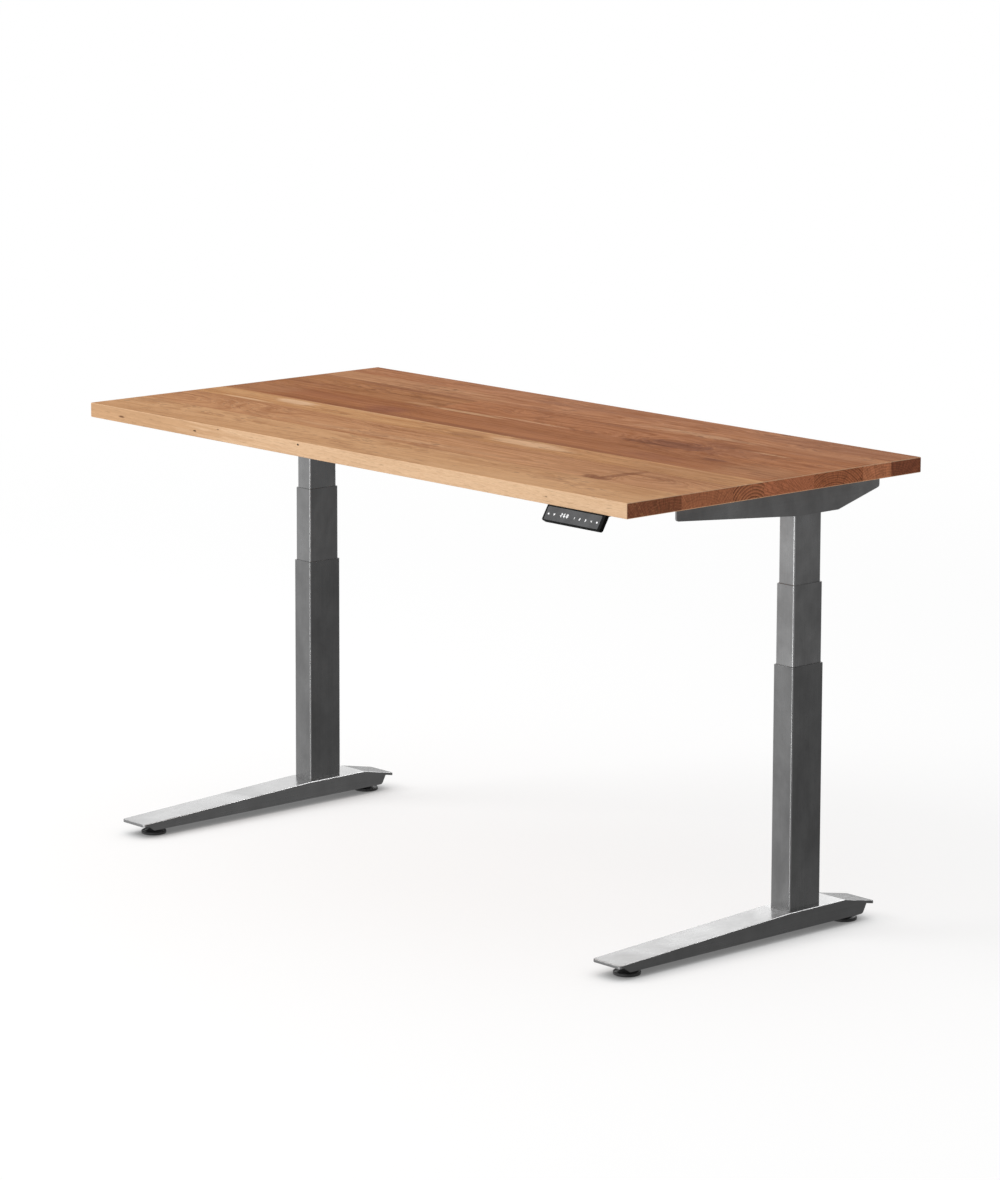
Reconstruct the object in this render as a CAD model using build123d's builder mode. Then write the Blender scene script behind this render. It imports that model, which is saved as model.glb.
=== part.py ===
from build123d import *
import math
import os

# Height adjustable standing desk on two three-stage lifting columns.
# Millimetres. +X is the user's right, +Y points away from the user, +Z is up.
# The origin is on the floor, under the middle of the whole desk.

os.makedirs("parts", exist_ok=True)

SIDES = (("left", -1), ("right", 1))

# Desktop, at the height in which it is modelled
TOP_LENGTH = 1524.0
TOP_THICKNESS = 28.6
TOP_HEIGHT = 868.0
TOP_EASING = 2.0
STAVE_WIDTHS = (131.0, 127.0, 78.0, 127.0, 127.0, 75.0, 80.0)  # front to back
BUTTED_STAVE = 4  # this stave is two lengths, end to end
BUTT_JOINT_X = -272.0
TOP_DEPTH = sum(STAVE_WIDTHS)
UNDERSIDE = TOP_HEIGHT - TOP_THICKNESS

# Handset: a slab that leans out under the front edge
HANDSET_LENGTH = 148.0
HANDSET_HEIGHT = 29.62
HANDSET_THICKNESS = 8.0
HANDSET_LEAN = math.radians(31)
HANDSET_X = 635.5
HANDSET_CORNER = 4.0
FACE_LENGTH = 136.7
FACE_HEIGHT = 25.6
FACE_X = HANDSET_X - 1.8
FACE_THICKNESS = 0.8
HANDSET_FLANGE = (42.0, 3.0)  # depth and thickness of the mounting flange
HANDSET_REACH = HANDSET_HEIGHT * math.sin(HANDSET_LEAN)
HANDSET_DROP = HANDSET_HEIGHT * math.cos(HANDSET_LEAN)

# The handset stands proud of the front edge, so the desktop sits back by half of that
TOP_Y = HANDSET_REACH / 2
FRONT_Y = TOP_Y - TOP_DEPTH / 2

# Column tubes, largest at the foot
COLUMN_X = 682.0
COLUMN_Y = TOP_Y + 139.7
LOWER_SIZE = (50.0, 80.0)
MIDDLE_SIZE = (45.0, 75.0)
UPPER_SIZE = (40.0, 70.0)
TUBE_WALL = 1.5
TUBE_CORNER = 4.0
LOWER_TOP = 503.5
MIDDLE_TOP = 653.3
UPPER_TOP = 787.0
TUBE_INSERTION = 310.0  # how deep each tube stands in the next one
MIDDLE_BOTTOM = LOWER_TOP - TUBE_INSERTION
UPPER_BOTTOM = MIDDLE_TOP - TUBE_INSERTION
LINER_HEIGHT = 60.0
LINER_RECESS = 1.0
BUSHING_HEIGHT = 30.0
SLIDE_CLEARANCE = 0.3

# Foot: a bent steel plate on two walls, open underneath
FOOT_WIDTH = 72.0
FOOT_PLATE = 5.5
FOOT_SHEET = 3.5
FOOT_BEND = 3.0
FOOT_TOP = 49.6
FOOT_FRONT = (TOP_Y - 339.2, 30.0)
FOOT_FRONT_BEND_Y = TOP_Y + 92.0
FOOT_REAR_BEND_Y = TOP_Y + 235.0
FOOT_REAR = (TOP_Y + 315.2, 34.2)
FOOT_WALL_BOTTOM = 15.0
FOOT_WALL_FRONT_Y = (TOP_Y - 331.0, TOP_Y - 313.0)  # at the plate, at the bottom
FOOT_WALL_REAR_Y = (TOP_Y + 294.0, TOP_Y + 283.0)
FOOT_WALL_CORNER = 8.0
FOOT_PLAN_CORNER = 7.0

# Levelling glides
GLIDE_Y = {"front": TOP_Y - 287.3, "rear": TOP_Y + 269.5}
GLIDE_RADIUS = 25.0
STUD_RADIUS = 4.0
STUD_TOP = 25.5
STUD_HEX = 13.0
BOSS_RADIUS = 8.0
BOSS_BOTTOM = 20.0

# Lifting screws, nested round the column's axis
DRIVE_SCREW_RADIUS = 6.5
HOLLOW_SCREW_RADII = (11.0, 7.2)
LOWER_SUPPORT_RADII = (14.0, 12.5)
MIDDLE_SUPPORT_RADII = (17.0, 15.5)
LOWER_PLATE = 6.0
MIDDLE_PLATE = 5.0
LOWER_NUT_Z = (380.0, 410.0)
BEARING_Z = (525.0, 533.0)
MIDDLE_NUT_Z = (545.0, 560.0)
NUT_SPIGOT = 8.0
HOLLOW_SCREW_Z = (168.0, 536.0)
DRIVE_SCREW_Z = (320.0, 800.0)

# Side brackets: folded channels, open underneath
BRACKET_WIDTH = 60.0
BRACKET_SHEET = 4.0
BRACKET_INNER_SETBACK = 75.0  # the inner wall starts this far behind the outer one
BRACKET_FRONT_Y = TOP_Y - 203.5
BRACKET_REAR_Y = TOP_Y + 315.5
BRACKET_FRONT_Z = 809.0
BRACKET_LOW_Z = 783.0
BRACKET_BEND_Y = (TOP_Y + 104.0, TOP_Y + 207.5)
BRACKET_REAR_Z = 813.5
BRACKET_CORNER = 5.5

# Column heads
GEARBOX_SIZE = (50.0, 64.0, 46.0)
MOTOR_RADIUS = 23.0
MOTOR_LENGTH = 92.0
MOTOR_NECK_RADIUS = 15.0
MOTOR_Z = UPPER_TOP + 24.0
COVER_SIZE = (118.0, 62.0)
COVER_SHEET = 1.5
COVER_BOTTOM = 784.0

# Crossbars and control box
CROSSBAR_SECTION = (40.0, 25.0)
CROSSBAR_WALL = 2.0
CROSSBAR_OFFSET = 75.0
CROSSBAR_TOP = UNDERSIDE - BRACKET_SHEET
CONTROL_SIZE = (262.0, 92.0, 30.0)
CONTROL_X = -90.0
CONTROL_TAB = (16.0, 3.0)
CONTROL_GROOVE = (60.0, 2.5, 1.2)  # length, width and depth of the cooling grooves
CONTROL_GROOVES = 11
CONTROL_GROOVE_PITCH = 8.0

# Screws and bolts
BOLT_RADIUS = 3.0
BOLT_HEAD = (5.0, 4.0)  # radius and height
SCREW_RADIUS = 2.5
SCREW_LENGTH = 18.0
SCREW_HEAD = (4.5, 2.5)
SCREW_HEAD_TAPER = 20  # degrees
SCREW_SOCKET = (1.5, 1.3)  # half across flats, and depth
HOLE_CLEARANCE = 0.2
FOOT_BOLT_SPACING = (30.0, 56.0)

# Inner walls of the two side brackets
BRACKET_INNER_X = COLUMN_X - BRACKET_WIDTH / 2


def save(builder, name):
    """Label a finished piece and write it under its node name."""
    builder.part.label = name
    export_step(builder.part, f"parts/{name}.step")


def column_plane(sign, z):
    """A horizontal plane at height z, centred on one column's axis."""
    return Plane(origin=(sign * COLUMN_X, COLUMN_Y, z))


def rectangular_tube(plane, size, height, wall, corner):
    """A rounded rectangular tube standing on a plane."""
    inner_corner = max(corner - wall, 0.5)
    with BuildPart() as tube:
        with BuildSketch(plane):
            RectangleRounded(size[0], size[1], corner)
            RectangleRounded(size[0] - 2 * wall, size[1] - 2 * wall, inner_corner, mode=Mode.SUBTRACT)
        extrude(amount=height)
    return tube


def round_tube(plane, outer, inner, height):
    """A round tube standing on a plane."""
    with BuildPart() as tube:
        with BuildSketch(plane):
            Circle(outer)
            Circle(inner, mode=Mode.SUBTRACT)
        extrude(amount=height)
    return tube


# ---------------------------------------------------------------- where the wood screws go

def bracket_screw_places():
    """Four screws up through the web of each side bracket."""
    places = []
    for _, sign in SIDES:
        for y in (BRACKET_FRONT_Y + 30, BRACKET_FRONT_Y + 170, BRACKET_REAR_Y - 115, BRACKET_REAR_Y - 30):
            places.append((sign * COLUMN_X, y, UNDERSIDE - BRACKET_SHEET))
    return places


def control_screw_places():
    """Two screws through the tabs of the control box."""
    reach = CONTROL_SIZE[0] / 2 + CONTROL_TAB[0] / 2
    return [(CONTROL_X + side * reach, COLUMN_Y, UNDERSIDE - CONTROL_TAB[1]) for side in (-1, 1)]


def handset_screw_places():
    """Two screws through the flange of the handset."""
    y = FRONT_Y + HANDSET_FLANGE[0] - 12
    return [(HANDSET_X + side * 50, y, UNDERSIDE - HANDSET_FLANGE[1]) for side in (-1, 1)]


SCREW_PLACES = bracket_screw_places() + control_screw_places() + handset_screw_places()


# ---------------------------------------------------------------- desktop

def stave_lengths(index):
    """Names and ends of the pieces that one stave is made of, from left to right."""
    half = TOP_LENGTH / 2
    if index == BUTTED_STAVE:
        return [("stave_5_left", -half, BUTT_JOINT_X), ("stave_5_right", BUTT_JOINT_X, half)]
    return [(f"stave_{index + 1}", -half, half)]


def make_stave(name, left, right, front, back):
    """One length of hardwood. Only the edges on the outside of the desktop are eased."""
    middle = ((left + right) / 2, (front + back) / 2)
    with BuildPart() as stave:
        with BuildSketch(Plane(origin=(middle[0], middle[1], UNDERSIDE))):
            Rectangle(right - left, back - front)
        extrude(amount=TOP_THICKNESS)
        outside = []
        if left == -TOP_LENGTH / 2:
            outside.append(stave.faces().sort_by(Axis.X)[0])
        if right == TOP_LENGTH / 2:
            outside.append(stave.faces().sort_by(Axis.X)[-1])
        if front == FRONT_Y:
            outside.append(stave.faces().sort_by(Axis.Y)[0])
        if abs(back - FRONT_Y - TOP_DEPTH) < 0.001:
            outside.append(stave.faces().sort_by(Axis.Y)[-1])
        eased = []
        for face in outside:
            eased += face.edges().filter_by(Plane.XY)
        uprights = [edge for face in outside for edge in face.edges().filter_by(Axis.Z)]
        for index, edge in enumerate(uprights):
            if any(edge.center() == other.center() for other in uprights[:index]):
                eased.append(edge)
        fillet(eased, TOP_EASING)
        holes = [(x, y) for x, y, _ in SCREW_PLACES if front < y < back and left < x < right]
        if holes:
            with BuildSketch(Plane.XY.offset(UNDERSIDE)):
                with Locations(*holes):
                    Circle(SCREW_RADIUS + HOLE_CLEARANCE)
            extrude(amount=SCREW_LENGTH, mode=Mode.SUBTRACT)
    save(stave, name)


def make_staves():
    """Edge-glued hardwood staves. One of them is butted from two lengths."""
    front = FRONT_Y
    for index, width in enumerate(STAVE_WIDTHS):
        for name, left, right in stave_lengths(index):
            make_stave(name, left, right, front, front + width)
        front += width


def make_desktop_screws():
    """Socket-head wood screws that hold the brackets, the control box and the handset."""
    with BuildPart() as screws:
        for x, y, z in SCREW_PLACES:
            downward = Plane(origin=(x, y, z), z_dir=(0, 0, -1))
            with BuildSketch(downward):
                Circle(SCREW_HEAD[0])
            extrude(amount=SCREW_HEAD[1], taper=SCREW_HEAD_TAPER)
            with BuildSketch(downward.offset(SCREW_HEAD[1])):
                RegularPolygon(SCREW_SOCKET[0], 6, major_radius=False)
            extrude(amount=-SCREW_SOCKET[1], mode=Mode.SUBTRACT)
            with BuildSketch(downward):
                Circle(SCREW_RADIUS)
            extrude(amount=-(UNDERSIDE - z + SCREW_LENGTH - 2))
    save(screws, "desktop_screws")


# ---------------------------------------------------------------- feet

def foot_top_line():
    """The top of the foot plate from front to back, as points in Y and Z."""
    return [FOOT_FRONT, (FOOT_FRONT_BEND_Y, FOOT_TOP), (FOOT_REAR_BEND_Y, FOOT_TOP), FOOT_REAR]


def make_foot(side, sign):
    """A bent top plate with a tongue at both ends, two walls under it, and bosses for the glides."""
    left_face = Plane.YZ.offset(sign * COLUMN_X - FOOT_WIDTH / 2)
    top = foot_top_line()
    under = [(y, z - FOOT_PLATE) for y, z in reversed(top)]
    wall_front, wall_rear = FOOT_WALL_FRONT_Y, FOOT_WALL_REAR_Y
    lift = FOOT_PLATE / 2  # the walls start half way into the plate
    front_z = FOOT_FRONT[1] + (wall_front[0] - FOOT_FRONT[0]) * 0.045 - lift
    rear_slope = (FOOT_TOP - FOOT_REAR[1]) / (FOOT_REAR[0] - FOOT_REAR_BEND_Y)
    rear_z = FOOT_REAR[1] + (FOOT_REAR[0] - wall_rear[0]) * rear_slope - lift
    wall = [
        (wall_front[0], front_z),
        (FOOT_FRONT_BEND_Y, FOOT_TOP - lift),
        (FOOT_REAR_BEND_Y, FOOT_TOP - lift),
        (wall_rear[0], rear_z),
        (wall_rear[1], FOOT_WALL_BOTTOM),
        (wall_front[1], FOOT_WALL_BOTTOM),
    ]
    with BuildPart() as foot:
        with BuildSketch(left_face):
            with BuildLine():
                Polyline(*top, *under, close=True)
            make_face()
        extrude(amount=FOOT_WIDTH)
        for offset in (0, FOOT_WIDTH - FOOT_SHEET):
            with BuildSketch(left_face.offset(offset)) as outline:
                with BuildLine():
                    Polyline(*wall, close=True)
                make_face()
                low_corners = outline.vertices().group_by(Axis.Y)[0]
                fillet(low_corners.sort_by(Axis.X)[-1], FOOT_WALL_CORNER)
            extrude(amount=FOOT_SHEET)
        upright = foot.edges().filter_by(Axis.Z)
        tips = list(upright.group_by(Axis.Y)[0]) + list(upright.group_by(Axis.Y)[-1])
        fillet(tips, FOOT_PLAN_CORNER)
        rim = foot.faces().filter_by(Axis.X).sort_by(Axis.X)
        outer = [rim[0], rim[-1]]
        long_edges = []
        for face in outer:
            for edge in face.edges():
                middle = edge.center()
                if middle.Z > FOOT_REAR[1] + 1 and edge.length > FOOT_WIDTH:
                    long_edges.append(edge)
        fillet(long_edges, FOOT_BEND / 2)
        for y in GLIDE_Y.values():
            with BuildSketch(Plane(origin=(sign * COLUMN_X, y, BOSS_BOTTOM))):
                Circle(BOSS_RADIUS)
            extrude(until=Until.NEXT)
            with BuildSketch(Plane(origin=(sign * COLUMN_X, y, 0))):
                Circle(STUD_RADIUS + SLIDE_CLEARANCE)
            extrude(amount=STUD_TOP + 0.5, mode=Mode.SUBTRACT)
        with BuildSketch(column_plane(sign, FOOT_TOP)):
            with GridLocations(*FOOT_BOLT_SPACING, 2, 2):
                Circle(BOLT_RADIUS + HOLE_CLEARANCE)
        extrude(amount=-FOOT_PLATE, mode=Mode.SUBTRACT)
    save(foot, f"{side}_foot")


def make_glide(side, sign, end):
    """A dished pad moulded on a threaded stud with a hexagon for the spanner."""
    axis_plane = Plane(origin=(sign * COLUMN_X, GLIDE_Y[end], 0), x_dir=(1, 0, 0), z_dir=(0, -1, 0))
    with BuildPart() as glide:
        with BuildSketch(axis_plane):
            with BuildLine():
                Polyline(
                    (0, 0), (GLIDE_RADIUS - 1, 0), (GLIDE_RADIUS, 1), (GLIDE_RADIUS, 4.5),
                    (GLIDE_RADIUS - 1.5, 6), (9, 10.5), (9, 13), (0, 13), close=True,
                )
            make_face()
        revolve(axis=Axis((sign * COLUMN_X, GLIDE_Y[end], 0), (0, 0, 1)))
        with BuildSketch(Plane(origin=(sign * COLUMN_X, GLIDE_Y[end], 13))):
            RegularPolygon(STUD_HEX / 2, 6, major_radius=False)
        extrude(amount=4)
        with BuildSketch(Plane(origin=(sign * COLUMN_X, GLIDE_Y[end], 17))):
            Circle(STUD_RADIUS)
        extrude(amount=STUD_TOP - 17)
    save(glide, f"{side}_{end}_glide")


def make_foot_bolts(side, sign):
    """Four hexagon bolts from under the foot into the plate in the lower tube."""
    with BuildPart() as bolts:
        with BuildSketch(column_plane(sign, FOOT_TOP - FOOT_PLATE)):
            with GridLocations(*FOOT_BOLT_SPACING, 2, 2):
                RegularPolygon(BOLT_HEAD[0], 6, major_radius=False)
        extrude(amount=-BOLT_HEAD[1])
        with BuildSketch(column_plane(sign, FOOT_TOP - FOOT_PLATE)):
            with GridLocations(*FOOT_BOLT_SPACING, 2, 2):
                Circle(BOLT_RADIUS)
        extrude(amount=FOOT_PLATE + LOWER_PLATE)
    save(bolts, f"{side}_foot_bolts")


# ---------------------------------------------------------------- columns

def make_lower_stage(side, sign):
    """The lower tube, its liner, and the plate, support tube and nut that stand in it."""
    lower_tube = rectangular_tube(
        column_plane(sign, FOOT_TOP), LOWER_SIZE, LOWER_TOP - FOOT_TOP, TUBE_WALL, TUBE_CORNER
    )
    save(lower_tube, f"{side}_lower_tube")

    liner_size = (LOWER_SIZE[0] - 2 * TUBE_WALL, LOWER_SIZE[1] - 2 * TUBE_WALL)
    liner_wall = (liner_size[0] - MIDDLE_SIZE[0]) / 2 - SLIDE_CLEARANCE
    liner_bottom = LOWER_TOP - LINER_RECESS - LINER_HEIGHT
    lower_liner = rectangular_tube(
        column_plane(sign, liner_bottom), liner_size, LINER_HEIGHT, liner_wall, TUBE_CORNER - TUBE_WALL
    )
    save(lower_liner, f"{side}_lower_liner")

    plate_top = FOOT_TOP + LOWER_PLATE
    with BuildPart() as lower_support:
        with BuildSketch(column_plane(sign, FOOT_TOP)):
            RectangleRounded(*liner_size, TUBE_CORNER - TUBE_WALL)
            with GridLocations(*FOOT_BOLT_SPACING, 2, 2):
                Circle(BOLT_RADIUS + HOLE_CLEARANCE, mode=Mode.SUBTRACT)
        extrude(amount=LOWER_PLATE)
        with BuildSketch(column_plane(sign, plate_top)):
            Circle(LOWER_SUPPORT_RADII[0])
            Circle(LOWER_SUPPORT_RADII[1], mode=Mode.SUBTRACT)
        extrude(amount=LOWER_NUT_Z[0] - plate_top)
    save(lower_support, f"{side}_lower_support")

    with BuildPart() as lower_nut:
        with BuildSketch(column_plane(sign, LOWER_NUT_Z[0])):
            Circle(LOWER_SUPPORT_RADII[0])
        extrude(amount=LOWER_NUT_Z[1] - LOWER_NUT_Z[0])
        with BuildSketch(column_plane(sign, LOWER_NUT_Z[0] - NUT_SPIGOT)):
            Circle(LOWER_SUPPORT_RADII[1])
        extrude(amount=NUT_SPIGOT)
        with BuildSketch(column_plane(sign, LOWER_NUT_Z[0] - NUT_SPIGOT)):
            Circle(HOLLOW_SCREW_RADII[0] + SLIDE_CLEARANCE)
        extrude(amount=LOWER_NUT_Z[1] - LOWER_NUT_Z[0] + NUT_SPIGOT, mode=Mode.SUBTRACT)
    save(lower_nut, f"{side}_lower_nut")


def make_middle_stage(side, sign):
    """The middle tube, its bushing and liner, and the support tube, nut and bearing in it."""
    middle_tube = rectangular_tube(
        column_plane(sign, MIDDLE_BOTTOM), MIDDLE_SIZE, MIDDLE_TOP - MIDDLE_BOTTOM, TUBE_WALL, TUBE_CORNER
    )
    save(middle_tube, f"{side}_middle_tube")

    bushing_wall = (LOWER_SIZE[0] - 2 * TUBE_WALL - MIDDLE_SIZE[0]) / 2 - SLIDE_CLEARANCE
    bushing_size = (MIDDLE_SIZE[0] + 2 * bushing_wall, MIDDLE_SIZE[1] + 2 * bushing_wall)
    middle_bushing = rectangular_tube(
        column_plane(sign, MIDDLE_BOTTOM), bushing_size, BUSHING_HEIGHT, bushing_wall, TUBE_CORNER + bushing_wall
    )
    save(middle_bushing, f"{side}_middle_bushing")

    liner_size = (MIDDLE_SIZE[0] - 2 * TUBE_WALL, MIDDLE_SIZE[1] - 2 * TUBE_WALL)
    liner_wall = (liner_size[0] - UPPER_SIZE[0]) / 2 - SLIDE_CLEARANCE
    liner_bottom = MIDDLE_TOP - LINER_RECESS - LINER_HEIGHT
    middle_liner = rectangular_tube(
        column_plane(sign, liner_bottom), liner_size, LINER_HEIGHT, liner_wall, TUBE_CORNER - TUBE_WALL
    )
    save(middle_liner, f"{side}_middle_liner")

    plate_top = MIDDLE_BOTTOM + MIDDLE_PLATE
    with BuildPart() as middle_support:
        with BuildSketch(column_plane(sign, MIDDLE_BOTTOM)):
            RectangleRounded(*liner_size, TUBE_CORNER - TUBE_WALL)
            Circle(LOWER_SUPPORT_RADII[0] + 2 * SLIDE_CLEARANCE, mode=Mode.SUBTRACT)
        extrude(amount=MIDDLE_PLATE)
        with BuildSketch(column_plane(sign, plate_top)):
            Circle(MIDDLE_SUPPORT_RADII[0])
            Circle(MIDDLE_SUPPORT_RADII[1], mode=Mode.SUBTRACT)
        extrude(amount=MIDDLE_NUT_Z[0] - plate_top)
    save(middle_support, f"{side}_middle_support")

    with BuildPart() as middle_nut:
        with BuildSketch(column_plane(sign, MIDDLE_NUT_Z[0])):
            Circle(MIDDLE_SUPPORT_RADII[0])
        extrude(amount=MIDDLE_NUT_Z[1] - MIDDLE_NUT_Z[0])
        with BuildSketch(column_plane(sign, MIDDLE_NUT_Z[0])):
            Circle(MIDDLE_SUPPORT_RADII[1])
        extrude(amount=-NUT_SPIGOT)
        with BuildSketch(column_plane(sign, MIDDLE_NUT_Z[1])):
            Circle(DRIVE_SCREW_RADIUS + SLIDE_CLEARANCE)
        extrude(amount=MIDDLE_NUT_Z[0] - NUT_SPIGOT - MIDDLE_NUT_Z[1], mode=Mode.SUBTRACT)
    save(middle_nut, f"{side}_middle_nut")

    bearing = round_tube(
        column_plane(sign, BEARING_Z[0]),
        MIDDLE_SUPPORT_RADII[1],
        HOLLOW_SCREW_RADII[0] + SLIDE_CLEARANCE / 3,
        BEARING_Z[1] - BEARING_Z[0],
    )
    save(bearing, f"{side}_screw_bearing")


def make_upper_stage(side, sign):
    """The upper tube with its bushing."""
    upper_tube = rectangular_tube(
        column_plane(sign, UPPER_BOTTOM), UPPER_SIZE, UPPER_TOP - UPPER_BOTTOM, TUBE_WALL, TUBE_CORNER
    )
    save(upper_tube, f"{side}_upper_tube")

    bushing_wall = (MIDDLE_SIZE[0] - 2 * TUBE_WALL - UPPER_SIZE[0]) / 2 - SLIDE_CLEARANCE
    bushing_size = (UPPER_SIZE[0] + 2 * bushing_wall, UPPER_SIZE[1] + 2 * bushing_wall)
    upper_bushing = rectangular_tube(
        column_plane(sign, UPPER_BOTTOM), bushing_size, BUSHING_HEIGHT, bushing_wall, TUBE_CORNER + bushing_wall
    )
    save(upper_bushing, f"{side}_upper_bushing")


def make_lifting_screws(side, sign):
    """The drive screw under the gearbox, and the hollow screw that it turns."""
    hollow_screw = round_tube(
        column_plane(sign, HOLLOW_SCREW_Z[0]),
        *HOLLOW_SCREW_RADII,
        HOLLOW_SCREW_Z[1] - HOLLOW_SCREW_Z[0],
    )
    save(hollow_screw, f"{side}_hollow_screw")

    with BuildPart() as drive_screw:
        with BuildSketch(column_plane(sign, DRIVE_SCREW_Z[0])):
            Circle(DRIVE_SCREW_RADIUS)
        extrude(amount=DRIVE_SCREW_Z[1] - DRIVE_SCREW_Z[0])
    save(drive_screw, f"{side}_drive_screw")


# ---------------------------------------------------------------- column heads

def make_side_bracket(side, sign):
    """A channel with a flat web under the desktop and two shaped walls hanging from it."""
    outline = [
        (BRACKET_FRONT_Y, UNDERSIDE),
        (BRACKET_REAR_Y, UNDERSIDE),
        (BRACKET_REAR_Y, BRACKET_REAR_Z),
        (BRACKET_BEND_Y[1], BRACKET_LOW_Z),
        (BRACKET_BEND_Y[0], BRACKET_LOW_Z),
        (BRACKET_FRONT_Y, BRACKET_FRONT_Z),
    ]
    face = Plane.YZ.offset(sign * COLUMN_X - BRACKET_WIDTH / 2)
    gap = BRACKET_WIDTH - 2 * BRACKET_SHEET
    inner_side = -sign * (BRACKET_WIDTH / 2 - BRACKET_SHEET / 2)
    with BuildPart() as bracket:
        with BuildSketch(face) as profile:
            with BuildLine():
                Polyline(*outline, close=True)
            make_face()
            ends = profile.vertices().group_by(Axis.X)
            fillet([corners.sort_by(Axis.Y)[0] for corners in (ends[0], ends[-1])], BRACKET_CORNER)
        extrude(amount=BRACKET_WIDTH)
        long_top = bracket.faces().sort_by(Axis.Z)[-1].edges().filter_by(Axis.Y)
        fillet(long_top, BRACKET_SHEET - 0.5)
        with BuildSketch(Plane(origin=(sign * COLUMN_X, TOP_Y, UNDERSIDE - BRACKET_SHEET))):
            Rectangle(gap, TOP_DEPTH)
        extrude(amount=-TOP_DEPTH / 4, mode=Mode.SUBTRACT)
        setback_middle = (sign * COLUMN_X + inner_side, BRACKET_FRONT_Y + BRACKET_INNER_SETBACK / 2)
        with BuildSketch(Plane(origin=(*setback_middle, UNDERSIDE - BRACKET_SHEET))):
            Rectangle(2 * BRACKET_SHEET, BRACKET_INNER_SETBACK)
        extrude(amount=-TOP_DEPTH / 4, mode=Mode.SUBTRACT)
        with BuildSketch(Plane.XY.offset(UNDERSIDE)):
            with Locations(*[(x, y) for x, y, _ in bracket_screw_places() if x * sign > 0]):
                Circle(SCREW_RADIUS + HOLE_CLEARANCE)
        extrude(amount=-BRACKET_SHEET, mode=Mode.SUBTRACT)
        wall_middle = Plane.YZ.offset(sign * COLUMN_X + inner_side)
        with BuildSketch(wall_middle):
            with Locations((COLUMN_Y, MOTOR_Z)):
                Circle(MOTOR_NECK_RADIUS + 1)
            with Locations(*crossbar_bolt_places()):
                Circle(BOLT_RADIUS + HOLE_CLEARANCE)
        extrude(amount=BRACKET_SHEET, both=True, mode=Mode.SUBTRACT)
    save(bracket, f"{side}_side_bracket")


def make_drive(side, sign):
    """The worm gearbox on the upper tube, the motor beside it, and the motor's cover."""
    with BuildPart() as gearbox:
        with BuildSketch(column_plane(sign, UPPER_TOP)):
            RectangleRounded(GEARBOX_SIZE[0], GEARBOX_SIZE[1], 6)
        extrude(amount=GEARBOX_SIZE[2])
        fillet(gearbox.faces().sort_by(Axis.Z)[-1].edges(), 3)
        with BuildSketch(column_plane(sign, UPPER_TOP)):
            Circle(DRIVE_SCREW_RADIUS + SLIDE_CLEARANCE)
        extrude(amount=DRIVE_SCREW_Z[1] - UPPER_TOP + 1, mode=Mode.SUBTRACT)
    save(gearbox, f"{side}_gearbox")

    inward = Plane(
        origin=(sign * (COLUMN_X - GEARBOX_SIZE[0] / 2), COLUMN_Y, MOTOR_Z), x_dir=(0, 1, 0), z_dir=(-sign, 0, 0)
    )
    neck = BRACKET_WIDTH / 2 - GEARBOX_SIZE[0] / 2 + 3
    with BuildPart() as motor:
        with BuildSketch(inward):
            Circle(MOTOR_NECK_RADIUS)
        extrude(amount=neck)
        with BuildSketch(inward.offset(neck)):
            Circle(MOTOR_RADIUS)
        extrude(amount=MOTOR_LENGTH)
        chamfer(motor.edges().filter_by(GeomType.CIRCLE).sort_by(Axis.X)[0 if sign > 0 else -1], 2)
        with BuildSketch(inward.offset(neck + MOTOR_LENGTH)):
            Circle(MOTOR_NECK_RADIUS / 2)
        extrude(amount=5)
    save(motor, f"{side}_motor")

    outside = (sign * (BRACKET_INNER_X - COVER_SIZE[0] / 2), COLUMN_Y, COVER_BOTTOM)
    with BuildPart() as cover:
        with BuildSketch(Plane(origin=outside)):
            Rectangle(*COVER_SIZE)
        extrude(amount=UNDERSIDE - COVER_BOTTOM)
        fillet(cover.faces().sort_by(Axis.Z)[0].edges().filter_by(Axis.X), 4)
        hollow = (outside[0] + sign * COVER_SHEET, COLUMN_Y, COVER_BOTTOM + COVER_SHEET)
        with BuildSketch(Plane(origin=hollow)):
            Rectangle(COVER_SIZE[0], COVER_SIZE[1] - 2 * COVER_SHEET)
        extrude(amount=UNDERSIDE - COVER_BOTTOM, mode=Mode.SUBTRACT)
    save(cover, f"{side}_motor_cover")


# ---------------------------------------------------------------- crossbars and electrics

def crossbar_bolt_places():
    """Centres of the bolts at a bracket wall, in Y and Z."""
    height = CROSSBAR_TOP - CROSSBAR_SECTION[1] / 2
    places = []
    for offset in (-CROSSBAR_OFFSET, CROSSBAR_OFFSET):
        for step in (-10, 10):
            places.append((COLUMN_Y + offset + step, height))
    return places


def make_crossbars():
    """Two rectangular tubes from bracket to bracket, closed by tapped end plates."""
    length = 2 * BRACKET_INNER_X
    middle_z = CROSSBAR_TOP - CROSSBAR_SECTION[1] / 2
    plug = 12.0
    for name, offset in (("front_crossbar", -CROSSBAR_OFFSET), ("rear_crossbar", CROSSBAR_OFFSET)):
        with BuildPart() as bar:
            with BuildSketch(Plane.YZ.offset(-length / 2)):
                with Locations((COLUMN_Y + offset, middle_z)):
                    RectangleRounded(*CROSSBAR_SECTION, 3)
            extrude(amount=length)
            with BuildSketch(Plane.YZ.offset(-length / 2 + plug)):
                with Locations((COLUMN_Y + offset, middle_z)):
                    inner = [size - 2 * CROSSBAR_WALL for size in CROSSBAR_SECTION]
                    RectangleRounded(*inner, 1)
            extrude(amount=length - 2 * plug, mode=Mode.SUBTRACT)
            with BuildSketch(Plane.YZ.offset(-length / 2)):
                with Locations((COLUMN_Y + offset, middle_z)):
                    with GridLocations(20, 1, 2, 1):
                        Circle(BOLT_RADIUS + HOLE_CLEARANCE)
            extrude(amount=length, mode=Mode.SUBTRACT)
        save(bar, name)


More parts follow.
